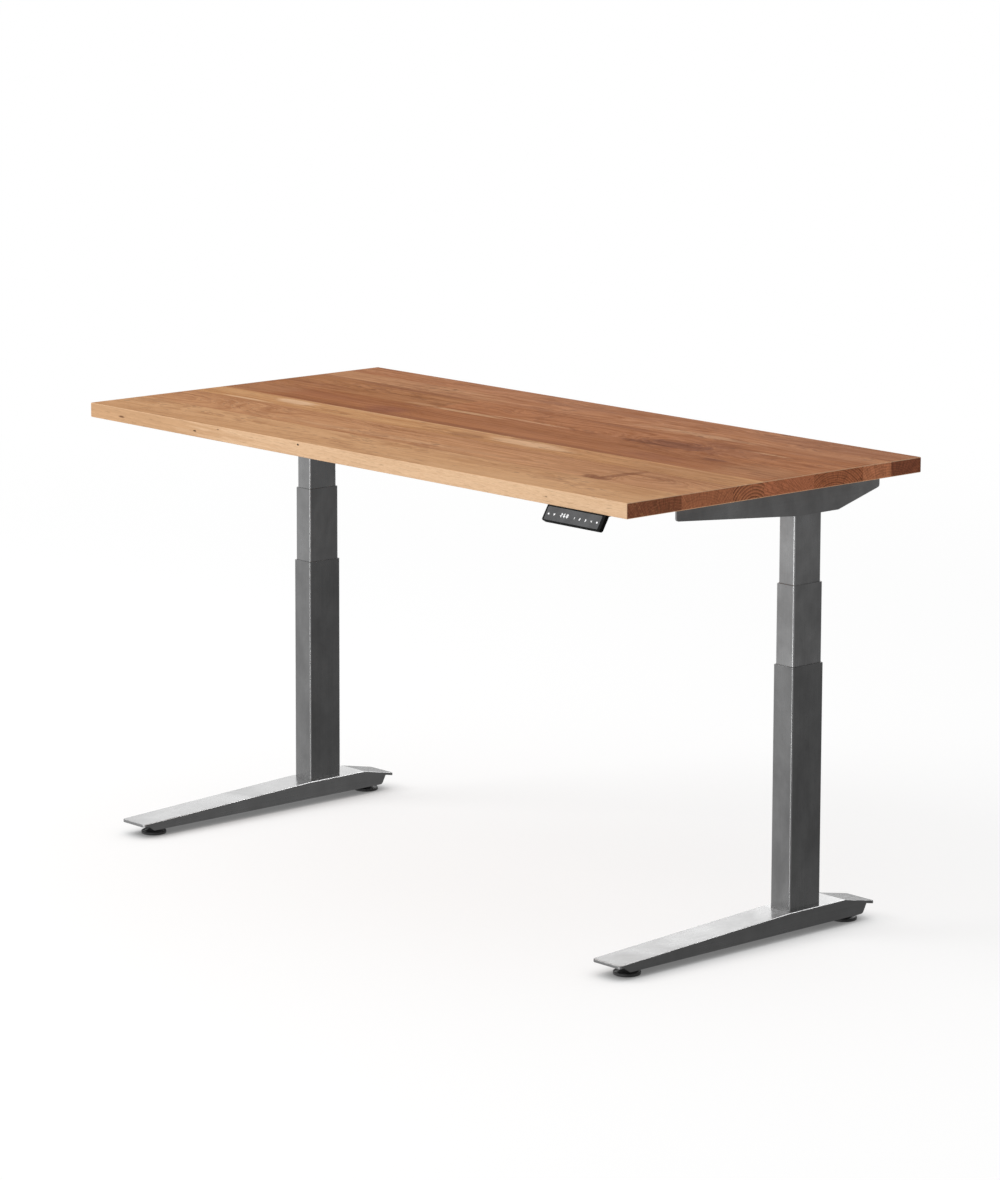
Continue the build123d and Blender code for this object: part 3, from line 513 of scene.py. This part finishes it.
def wood_material(name, seed, look):
    """Solid hardwood: rings round a pith that runs along X, fibres, pores, and a darker end grain."""
    material, graph, coordinates = new_material("wood_" + name)
    low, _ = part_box(name)
    place = coordinates.outputs["Object"]
    local = graph.vector("SUBTRACT", place, (DESK_LOW.x, low.y, DESK_HIGH.z))
    shift = (seed * 7.3, seed * 1.9, 0)

    # The rings, bent by slow noise and by hidden branches
    x, across, up = graph.split(local)
    drift = graph.noise(graph.scaled(local, DRIFT_SCALE, shift), detail=1.5)
    ripple = graph.noise(graph.scaled(local, RIPPLE_SCALE, shift), detail=3.0)
    wander = graph.math("MULTIPLY_ADD", drift, 0.030, graph.math("MULTIPLY", ripple, 0.0040))
    wander = graph.math("MULTIPLY_ADD", x, look["taper"], wander)
    figure = 0.0
    for centre, half, lift in look["eyes"]:
        nearness = near_eye(graph, local, centre, half)
        wander = graph.math("MULTIPLY_ADD", nearness, lift, wander)
        figure = graph.math("MAXIMUM", figure, nearness)
    pith_y, pith_z = look["pith"]
    beside_pith = graph.math("SUBTRACT", across, pith_y)
    above_pith = graph.math("SUBTRACT", up, pith_z)
    from_pith = graph.join(0, beside_pith, above_pith)
    radius = graph.math("ADD", graph.vector("LENGTH", from_pith), wander)
    rings = graph.math("DIVIDE", radius, look["spacing"])
    year = graph.noise(graph.join(graph.math("FLOOR", rings), seed * 1.7, 0), scale=3.7, detail=0)
    phase = graph.math("FRACT", rings)
    rise = graph.range(phase, 0.15, 0.88)
    fall = graph.range(phase, 0.92, 1.0, 1.0, 0.0)
    late = graph.math("MULTIPLY", rise, fall)
    late = graph.math("MULTIPLY", late, graph.range(year, 0.3, 0.7, 0.45, 1.0))

    # Bands, fibres, pores and flecks, all drawn out along the grain
    along = graph.join(x, radius, graph.math("MULTIPLY", across, 0.3))
    bands = graph.noise(graph.scaled(along, BAND_SCALE, shift), detail=2)
    fibres = graph.noise(graph.scaled(along, FIBRE_SCALE, shift), detail=5, roughness=0.72)
    ragged = graph.noise(graph.scaled(along, RAGGED_SCALE, shift), detail=3)
    ragged = graph.range(ragged, 0.3, 0.7, -0.28, 0.28, smooth=False)
    in_early = graph.range(phase, 0.10, 0.50, 1.0, 0.1)
    pores = graph.noise(graph.scaled(along, PORE_SCALE, shift), detail=1)
    pores = graph.math("MULTIPLY", graph.range(pores, 0.56, 0.70), in_early)
    dashes = graph.noise(graph.scaled(along, DASH_SCALE, shift), detail=2)
    dashes = graph.math("MULTIPLY", graph.range(dashes, 0.50, 0.66), in_early)
    open_grain = graph.noise(graph.scaled(local, OPEN_GRAIN_SCALE, (seed * 3.1, 0, 0)), detail=1)
    open_grain = graph.math("MAXIMUM", graph.range(open_grain, 0.42, 0.62, 0.15, 0.8), figure)
    dashes = graph.math("MULTIPLY", dashes, open_grain)
    fleck_place = graph.scaled(along, FLECK_SCALE, shift)
    flecks = graph.noise(fleck_place, detail=3, roughness=0.65, distortion=0.5)
    flecks = graph.math("MULTIPLY", graph.range(flecks, 0.52, 0.60), open_grain)

    # The long faces
    streaks = graph.range(bands, 0.25, 0.75, -0.30, 0.55, smooth=False)
    threads = graph.range(fibres, 0.25, 0.75, -0.50, 0.62, smooth=False)
    darkness = graph.math("MULTIPLY", late, look["contrast"])
    darkness = graph.math("ADD", darkness, streaks)
    darkness = graph.math("ADD", darkness, threads, clamp=True)
    color = graph.mix(darkness, look["early"], look["late"])
    nx, ny, nz = graph.split(coordinates.outputs["Normal"])
    if name == STAVES[0]:
        front = graph.range(ny, -0.5, -0.8)
        front_place = graph.scaled(local, FRONT_FLECK_SCALE, shift)
        front_flecks = graph.noise(front_place, detail=4, roughness=0.75)
        front_flecks = graph.math("MULTIPLY", graph.range(front_flecks, 0.60, 0.30), 0.40)
        pale = graph.mix(graph.math("MULTIPLY", darkness, 0.40), FRONT_EARLY, FRONT_LATE)
        pale = graph.mix(front_flecks, pale, FRONT_LATE)
        color = graph.mix(front, color, pale)
    for patch_color, centre, half, strength in look["patches"]:
        mask = mask_of_patch(graph, local, ragged, centre, half)
        stained = graph.mix(darkness, patch_color, shaded(patch_color, STAIN_SHADE))
        color = graph.mix(graph.math("MULTIPLY", mask, strength), color, stained)
    dark_pore = shaded(look["late"], PORE_SHADE)
    flecks = graph.math("MULTIPLY", flecks, graph.range(ny, -0.8, -0.5))
    dashes = graph.math("MULTIPLY", dashes, graph.range(ny, -0.8, -0.5, 0.35, 1.0))
    color = graph.mix(graph.math("MULTIPLY", dashes, DASH_STRENGTH), color, dark_pore)
    color = graph.mix(graph.math("MULTIPLY", pores, PORE_STRENGTH), color, dark_pore)
    brown = tuple(share * value for share, value in zip(FLECK_SHADES, look["late"]))
    color = graph.mix(graph.math("MULTIPLY", flecks, FLECK_STRENGTH), color, brown)

    # The ends: rays, rings and speckle
    end_grain = graph.range(graph.math("ABSOLUTE", nx), 0.6, 0.9)
    angle = graph.math("ARCTAN2", beside_pith, above_pith)
    ray_angle = graph.math("MULTIPLY", angle, 60)
    ray_radius = graph.math("MULTIPLY", radius, 30)
    rays = graph.noise(graph.join(ray_angle, ray_radius, seed))
    end_color = graph.mix(graph.range(rays, 0.42, 0.60), look["end"], shaded(look["end"], RAY_SHADE))
    ring_line = graph.math("MULTIPLY", late, look["end_rings"])
    end_color = graph.mix(ring_line, end_color, shaded(look["end"], RING_SHADE))
    speckle = graph.noise(graph.scaled(local, SPECKLE_SCALE, shift), detail=3, roughness=0.6)
    end_color = graph.mix(graph.range(speckle, 0.54, 0.66, 0.0, 0.45), end_color, dark_pore)
    end_color = graph.mix(graph.range(speckle, 0.46, 0.36, 0.0, 0.28), end_color, look["late"])
    color = graph.mix(end_grain, color, end_color)

    # Painted highlight: the rounded edges are made paler, for the light they catch
    sideways = graph.math("MAXIMUM", graph.math("ABSOLUTE", nx), graph.math("ABSOLUTE", ny))
    edge_highlight = graph.math("MULTIPLY", sideways, graph.math("ABSOLUTE", nz))
    color = graph.mix(graph.range(edge_highlight, 0.15, 0.45, 0.0, 0.40), color, FRONT_EARLY)

    roughness = graph.range(fibres, 0.2, 0.8, 0.52, 0.68)
    height = graph.math("MULTIPLY_ADD", pores, -1.0, graph.math("MULTIPLY", fibres, 0.6))
    height = graph.math("MULTIPLY_ADD", dashes, -0.6, height)
    normal = graph.bump(height, 0.3, 0.0004)
    finish_material(graph, color, roughness, normal, Specular_IOR_Level=0.06)
    return material


# ---------------------------------------------------------------- metal and plastic

STEEL = (0.30, 0.30, 0.302)
# Painted light: how much lighter or darker each piece of bare steel is made, on the left and on the
# right, for the reflections and shade it catches
STEEL_PAINTED_LIGHT = {
    "foot": {"left": 1.18, "right": 0.88},
    "lower_tube": {"left": 0.81, "right": 0.82},
    "middle_tube": {"left": 1.00, "right": 1.23},
    "upper_tube": {"left": 1.03, "right": 1.35},
    "side_bracket": {"left": 1.25, "right": 1.34},
}
RAW_ROUGHNESS = 0.32
FOOT_MOTTLE = 0.28
TUBE_MOTTLE = 0.5
PAINTED_CORNER_HIGHLIGHT = 2.1  # painted highlight: how much lighter the rounded upright corners are made

# Other metals: base colour, roughness, how cloudy, shift of the pattern, axis of the draw lines
METALS = {
    "sheet_steel": ((0.16, 0.16, 0.165), 0.42, 0.5, 4.0, "X"),
    "machined_steel": ((0.50, 0.50, 0.51), 0.28, 0.2, 2.0, "Z"),
    "zinc_steel": ((0.62, 0.62, 0.60), 0.3, 0.2, 7.0, "Z"),
    "gearbox_alloy": ((0.52, 0.52, 0.53), 0.5, 0.25, 9.0, "Z"),
}
# Plastics, paint and print: base colour, roughness, shine, glow
PLASTICS = {
    "motor_paint": ((0.03, 0.03, 0.032), 0.4, 0.5, 0.0),
    "natural_nylon": ((0.75, 0.74, 0.68), 0.45, 0.5, 0.0),
    "nut_polymer": ((0.18, 0.2, 0.24), 0.4, 0.5, 0.0),
    "box_plastic": ((0.022, 0.022, 0.024), 0.45, 0.5, 0.0),
    "handset_plastic": ((0.002, 0.002, 0.002), 0.60, 0.08, 0.0),
    "handset_panel": ((0.075, 0.076, 0.079), 0.55, 0.25, 0.0),
    # painted light: the pads get a lighter copy of the black plastic, to lift the shade under the feet
    "pad_plastic_painted_light": ((0.050, 0.050, 0.052), 0.45, 0.5, 0.0),
    # painted light: the printed marks glow, though print gives no light
    "glowing_print": ((0.80, 0.80, 0.80), 0.6, 0.5, 0.42),
    "display_digits": ((0.62, 0.63, 0.64), 0.5, 0.5, 0.34),
}

STEEL_SHADES = (0.66, 1.30)  # the darkest and the lightest clouds
SPECK_SHADE = 0.45
LINE_CONTRAST = 0.12
CLOUD_ROUGHNESS = 0.07
LINE_ROUGHNESS = 0.03
COAT_ROUGHNESS = 0.16
PLASTIC_GRAIN = 0.25
PLASTIC_ROUGHNESS = 0.06

NOISE_SPAN = (0.3, 0.7)  # most of a noise's values lie between these
CLOUD_SCALE = (7, 7, 4)
PATCH_SCALE = (28, 28, 20)
SPECK_SCALE = (260, 260, 260)
LINE_SCALES = (6, 700)  # along a draw line and across it
GRAIN_SCALE = 1400
HAZE_SCALE = 35


def steel_material(name, base, roughness, mottle, seed, drawn):
    """Bare mill steel under a thin clear coat: cloudy, specked, with draw lines along one axis."""
    material, graph, coordinates = new_material(name)
    place = coordinates.outputs["Object"]
    cloud_place = graph.scaled(place, CLOUD_SCALE, (seed, 0, 0))
    clouds = graph.noise(cloud_place, detail=5, roughness=0.62, distortion=0.6)
    patches = graph.noise(graph.scaled(place, PATCH_SCALE, (seed, 3, 0)), detail=3, roughness=0.6)
    specks = graph.noise(graph.scaled(place, SPECK_SCALE, (seed, 0, 5)), detail=2)
    along, across = LINE_SCALES
    line_scale = tuple(along if axis == drawn else across for axis in "XYZ")
    lines = graph.noise(graph.scaled(place, line_scale, (seed, 0, 0)), detail=2)

    large = graph.range(clouds, *NOISE_SPAN, -mottle, mottle)
    small = graph.range(patches, *NOISE_SPAN, -mottle / 2, mottle / 2)
    variation = graph.math("ADD", large, small)
    line_shade = graph.range(lines, *NOISE_SPAN, -LINE_CONTRAST, LINE_CONTRAST)
    variation = graph.math("ADD", variation, line_shade)
    factor = graph.math("MULTIPLY_ADD", variation, 0.5, 0.5, clamp=True)
    dark, light = (shaded(base, shade) for shade in STEEL_SHADES)
    color = graph.mix(factor, dark, light)
    color = graph.mix(graph.range(specks, 0.66, 0.74, 0.0, 0.35), color, shaded(base, SPECK_SHADE))
    # Painted highlight: the rounded upright corners, where the normal points between X and Y, are made
    # lighter
    nx, ny, _ = graph.split(coordinates.outputs["Normal"])
    corner = graph.math("ABSOLUTE", graph.math("MULTIPLY", nx, ny))
    color = graph.mix(graph.range(corner, 0.12, 0.40), color, shaded(base, PAINTED_CORNER_HIGHLIGHT))

    rough_clouds = graph.range(
        clouds, *NOISE_SPAN, roughness + CLOUD_ROUGHNESS, roughness - CLOUD_ROUGHNESS,
    )
    rough_lines = graph.range(lines, *NOISE_SPAN, -LINE_ROUGHNESS, LINE_ROUGHNESS)
    rough = graph.math("ADD", rough_clouds, rough_lines)
    height = graph.math("MULTIPLY_ADD", lines, 0.4, graph.math("MULTIPLY", patches, 1.2))
    normal = graph.bump(height, 0.03, 0.0005)
    finish_material(
        graph, color, rough, normal,
        Metallic=1.0, Coat_Weight=1.0, Coat_Roughness=COAT_ROUGHNESS,
    )
    return material


def plastic_material(name, base, roughness, shine, glow):
    """Moulded plastic with a fine spark-eroded texture."""
    material, graph, coordinates = new_material(name)
    place = coordinates.outputs["Object"]
    grains = graph.noise(place, scale=GRAIN_SCALE, detail=2)
    haze = graph.noise(place, scale=HAZE_SCALE, detail=3)
    pale = tuple(1.2 * value + 0.002 for value in base)
    color = graph.mix(graph.range(haze, *NOISE_SPAN), shaded(base, 0.85), pale)
    rough = graph.range(
        grains, *NOISE_SPAN, roughness - PLASTIC_ROUGHNESS, roughness + PLASTIC_ROUGHNESS,
    )
    normal = graph.bump(grains, PLASTIC_GRAIN, 0.00012)
    finish_material(
        graph, color, rough, normal,
        Specular_IOR_Level=shine, Emission_Color=WHITE, Emission_Strength=glow,
    )
    return material


def make_finishes():
    """The materials that several pieces share, by name."""
    finishes = {name: steel_material(name, *values) for name, values in METALS.items()}
    for name, values in PLASTICS.items():
        finishes[name] = plastic_material(name, *values)
    return finishes


# ---------------------------------------------------------------- new pieces

def add_piece(name, shape, material, body, smooth_angle=None):
    """Makes a bmesh into a piece of the desk that rides on a body."""
    bmesh.ops.recalc_face_normals(shape, faces=shape.faces)
    piece = shape_object(name, shape)
    piece.data.materials.append(material)
    bpy.context.scene.collection.objects.link(piece)
    if smooth_angle is not None:
        piece.data.shade_smooth()
        piece.data.set_sharp_from_angle(angle=math.radians(smooth_angle))
    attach(piece, body)
    return piece


def on_circle(radius, turn, height):
    """A point a share of a turn round Z, at a height."""
    angle = 2 * math.pi * turn
    return Vector((radius * math.cos(angle), radius * math.sin(angle), height))


def add_ring(shape, centre, radius, height, count):
    """Adds points evenly round an upright axis."""
    return [shape.verts.new(centre + on_circle(radius, step / count, height)) for step in range(count)]


def close_rings(shape, rings):
    """Adds the faces between rings of the same number of points, and one over each end."""
    for low, high in zip(rings, rings[1:]):
        for step in range(len(low)):
            after = (step + 1) % len(low)
            shape.faces.new((low[step], low[after], high[after], high[step]))
    shape.faces.new(list(reversed(rings[0])))
    shape.faces.new(rings[-1])


def add_lathe(shape, centre, profile, segments=64):
    """Adds a closed revolved form round Z. profile lists (radius, height) from axis to axis."""
    rings = []
    for radius, height in profile:
        rings.append(add_ring(shape, centre, radius, height, 1 if radius == 0 else segments))
    for low, high in zip(rings, rings[1:]):
        for step in range(segments):
            after = (step + 1) % segments
            if len(low) == 1:
                shape.faces.new((low[0], high[after], high[step]))
            elif len(high) == 1:
                shape.faces.new((low[step], low[after], high[0]))
            else:
                shape.faces.new((low[step], low[after], high[after], high[step]))


def add_prism(shape, outline, origin, right, up, depth):
    """Adds a closed prism: a flat outline of (right, up) points, standing depth proud of its plane."""
    out = right.cross(up).normalized()
    base = [shape.verts.new(origin + x * right + y * up) for x, y in outline]
    top = [shape.verts.new(vertex.co + depth * out) for vertex in base]
    close_rings(shape, [base, top])


# Glide, in metres: the pad's section, the hexagon and the threaded stud
GLIDE_PAD = (
    (0, 0.0008), (0.0170, 0.0008), (0.0180, 0.0), (0.0240, 0.0), (0.0248, 0.0004),
    (0.0250, 0.0012), (0.0250, 0.0046), (0.0247, 0.0055), (0.0240, 0.0060), (0.0231, 0.0060),
    (0.0223, 0.0055), (0.0212, 0.0047), (0.0196, 0.0046), (0.0160, 0.0060), (0.0125, 0.0081),
    (0.0102, 0.0100), (0.0092, 0.0113), (0.0090, 0.0125), (0.0085, 0.0130), (0, 0.0130),
)
GLIDE_HEX = (0.0065, 0.0129, 0.0170)  # half across flats, bottom, top
GLIDE_STUD = (0.0040, 0.0033, 0.0168, 0.0255)  # outer and root radius, bottom, top
GLIDE_PITCH = 0.00125
CHAMFER_RISE = 0.6  # height of the hexagon's chamfer, as a share of its width
CREST_GAIN = 1.25  # over 1, so that the thread's crests are flat
PAD_SMOOTH = 40  # degrees
STUD_SMOOTH = 50


def add_hexagon(shape, centre, half_flats, bottom, top):
    """A hexagon with chamfered corners at its top."""
    corner = half_flats / math.cos(math.pi / 6)
    chamfer = corner - half_flats
    levels = ((corner, bottom), (corner, top - chamfer * CHAMFER_RISE), (half_flats, top))
    close_rings(shape, [add_ring(shape, centre, radius, height, 6) for radius, height in levels])


def add_thread(shape, centre, outer, root, bottom, top, pitch, segments=24, rows_each=6):
    """A stud with a real helical thread: the radius rises and falls with turn and height."""
    rows = round((top - bottom) / pitch * rows_each)
    rings = []
    for row in range(rows + 1):
        height = bottom + (top - bottom) * row / rows
        ring = []
        for step in range(segments):
            turn = step / segments
            phase = ((height - bottom) / pitch - turn) % 1.0
            crest = 1 - abs(2 * phase - 1)
            radius = root + (outer - root) * min(1.0, CREST_GAIN * crest)
            if row in (0, rows):
                radius = root
            ring.append(shape.verts.new(centre + on_circle(radius, turn, height)))
        rings.append(ring)
    close_rings(shape, rings)


def make_glides(pad_plastic_painted_light, zinc):
    """Each levelling glide: a dished plastic pad moulded on a hexagon and a threaded stud."""
    for side in SIDES:
        for end in ("front", "rear"):
            node = f"{side}_{end}_glide"
            low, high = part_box(node)
            centre = Vector(((low[0] + high[0]) / 2, (low[1] + high[1]) / 2, low[2]))
            pad = bmesh.new()
            add_lathe(pad, centre, GLIDE_PAD)
            pad_piece = add_piece(node + "_pad", pad, pad_plastic_painted_light, node, PAD_SMOOTH)
            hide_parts(node)
            stud = bmesh.new()
            add_hexagon(stud, centre, *GLIDE_HEX)
            add_piece(node + "_hexagon", stud, zinc, node)
            stud = bmesh.new()
            add_thread(stud, centre, *GLIDE_STUD, GLIDE_PITCH)
            add_piece(node + "_stud", stud, zinc, node, STUD_SMOOTH)


# Handset face, in metres. Places are from its middle, to the right and up the face.
HANDSET_LEAN = 31.0  # degrees from upright
PANEL_THICKNESS = 0.0008
MARK_DEPTH = 0.00006
STROKE = 0.0013
SEGMENTS_OF_DIGIT = {
    "1": "bc", "2": "abged", "3": "abgcd", "4": "fgbc", "6": "afgedc", "8": "abcdefg",
}
KEY_ROW = -0.0009
KEY_DIGIT = (0.0034, 0.0050)
KEY_MARKS = (("1", 0.0034), ("2", 0.0178), ("3", 0.0323), ("4", 0.0470))
ARROWS = ((-0.0612, 1), (-0.0469, -1))  # place, and 1 for up or -1 for down
ARROW_HALF_WIDTH = 0.0024
ARROW_TIP = 0.0024
ARROW_BASE = 0.0016
DOT_PLACE = 0.0613
DOT_RADIUS = 0.0018
DOT_SIDES = 24
DISPLAY = "268"
DISPLAY_ROW = 0.0004
DISPLAY_PLACE = -0.0215
DISPLAY_PITCH = 0.0074
DISPLAY_DIGIT = (0.0052, 0.0080)
DISPLAY_STROKE = 1.6 * STROKE


def bar(x, y, width, height):
    """The outline of an upright bar round a middle."""
    return [
        (x - width / 2, y - height / 2), (x + width / 2, y - height / 2),
        (x + width / 2, y + height / 2), (x - width / 2, y + height / 2),
    ]


def segment_outline(segment, size, stroke):
    """One of the seven strokes of a digit, round the digit's middle."""
    width, height = size
    aside = (width - stroke) / 2
    half = (height - stroke) / 2
    level = (width - 1.6 * stroke, stroke)
    upright = (stroke, half - 0.4 * stroke)
    places = {
        "a": (0, half, *level),
        "b": (aside, half / 2, *upright),
        "c": (aside, -half / 2, *upright),
        "d": (0, -half, *level),
        "e": (-aside, -half / 2, *upright),
        "f": (-aside, half / 2, *upright),
        "g": (0, 0, *level),
    }
    return bar(*places[segment])


def make_handset_marks(glowing_print_material, glow_material):
    """Pale marks on the touch panel: two arrows, four digits and a dot, and a three-digit display."""
    low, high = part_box("handset_panel")
    lean = math.radians(HANDSET_LEAN)
    up = Vector((0, math.sin(lean), math.cos(lean)))
    right = Vector((1, 0, 0))
    middle = (Vector(low) + Vector(high)) / 2
    face = middle + right.cross(up) * PANEL_THICKNESS / 2

    def add_mark(shape, outline, x, y):
        add_prism(shape, outline, face + up * y + right * x, right, up, MARK_DEPTH)

    marks = bmesh.new()
    for x, way in ARROWS:
        base = -ARROW_BASE * way
        outline = [(-ARROW_HALF_WIDTH, base), (ARROW_HALF_WIDTH, base), (0, ARROW_TIP * way)]
        if way < 0:
            outline.reverse()
        add_mark(marks, outline, x, KEY_ROW)
    for digit, x in KEY_MARKS:
        for segment in SEGMENTS_OF_DIGIT[digit]:
            add_mark(marks, segment_outline(segment, KEY_DIGIT, STROKE), x, KEY_ROW)
    dot = [on_circle(DOT_RADIUS, step / DOT_SIDES, 0).xy for step in range(DOT_SIDES)]
    add_mark(marks, dot, DOT_PLACE, KEY_ROW)
    add_piece("handset_marks", marks, glowing_print_material, "top")

    display = bmesh.new()
    for index, digit in enumerate(DISPLAY):
        x = DISPLAY_PLACE + (index - 1) * DISPLAY_PITCH
        for segment in SEGMENTS_OF_DIGIT[digit]:
            add_mark(display, segment_outline(segment, DISPLAY_DIGIT, DISPLAY_STROKE), x, DISPLAY_ROW)
    add_piece("handset_display", display, glow_material, "top")


# ---------------------------------------------------------------- CAD nodes

def paint_cad(names, material):
    """Gives CAD nodes one material in all their slots."""
    for name in names:
        mesh = NODES[name].data
        mesh.materials.clear()
        mesh.materials.append(material)


def both_sides(*parts):
    return [f"{side}_{part}" for side in SIDES for part in parts]


# Which nodes take which of the shared finishes
NODES_OF_FINISH = {
    "sheet_steel": ["front_crossbar", "rear_crossbar"] + both_sides("motor_cover"),
    "machined_steel": both_sides(
        "lower_support", "middle_support", "hollow_screw", "drive_screw", "screw_bearing",
    ),
    "zinc_steel": ["crossbar_bolts", "desktop_screws"] + both_sides("foot_bolts"),
    "gearbox_alloy": both_sides("gearbox"),
    "motor_paint": both_sides("motor"),
    "natural_nylon": both_sides("lower_liner", "middle_liner", "middle_bushing", "upper_bushing"),
    "nut_polymer": both_sides("lower_nut", "middle_nut"),
    "box_plastic": ["control_box"],
    "handset_plastic": ["handset_body"],
    "handset_panel": ["handset_panel"],
}


def paint_frame(finishes):
    """Bare steel, one material for each piece with its own painted light, and the shared finishes."""
    for index, (part, painted_light) in enumerate(STEEL_PAINTED_LIGHT.items()):
        for side in SIDES:
            node = f"{side}_{part}"
            # painted light: each piece's steel colour is scaled for the light and reflections it catches
            base = shaded(STEEL, painted_light[side])
            seed = index * 3.7 + (side == "right") * 1.9
            drawn = "Z" if part.endswith("_tube") else "Y"
            mottle = FOOT_MOTTLE if part == "foot" else TUBE_MOTTLE
            steel = steel_material("steel_" + node, base, RAW_ROUGHNESS, mottle, seed, drawn)
            paint_cad([node], steel)
    for finish, names in NODES_OF_FINISH.items():
        paint_cad(names, finishes[finish])


def paint_desktop():
    for seed, name in enumerate(STAVES, start=1):
        paint_cad([name], wood_material(name, seed, STAVE_LOOKS[name]))


make_camera()
make_world()
make_stage()
FINISHES = make_finishes()
paint_desktop()
paint_frame(FINISHES)
make_glides(FINISHES["pad_plastic_painted_light"], FINISHES["zinc_steel"])
make_handset_marks(FINISHES["glowing_print"], FINISHES["display_digits"])

bpy.context.scene.view_settings.view_transform = "Standard"
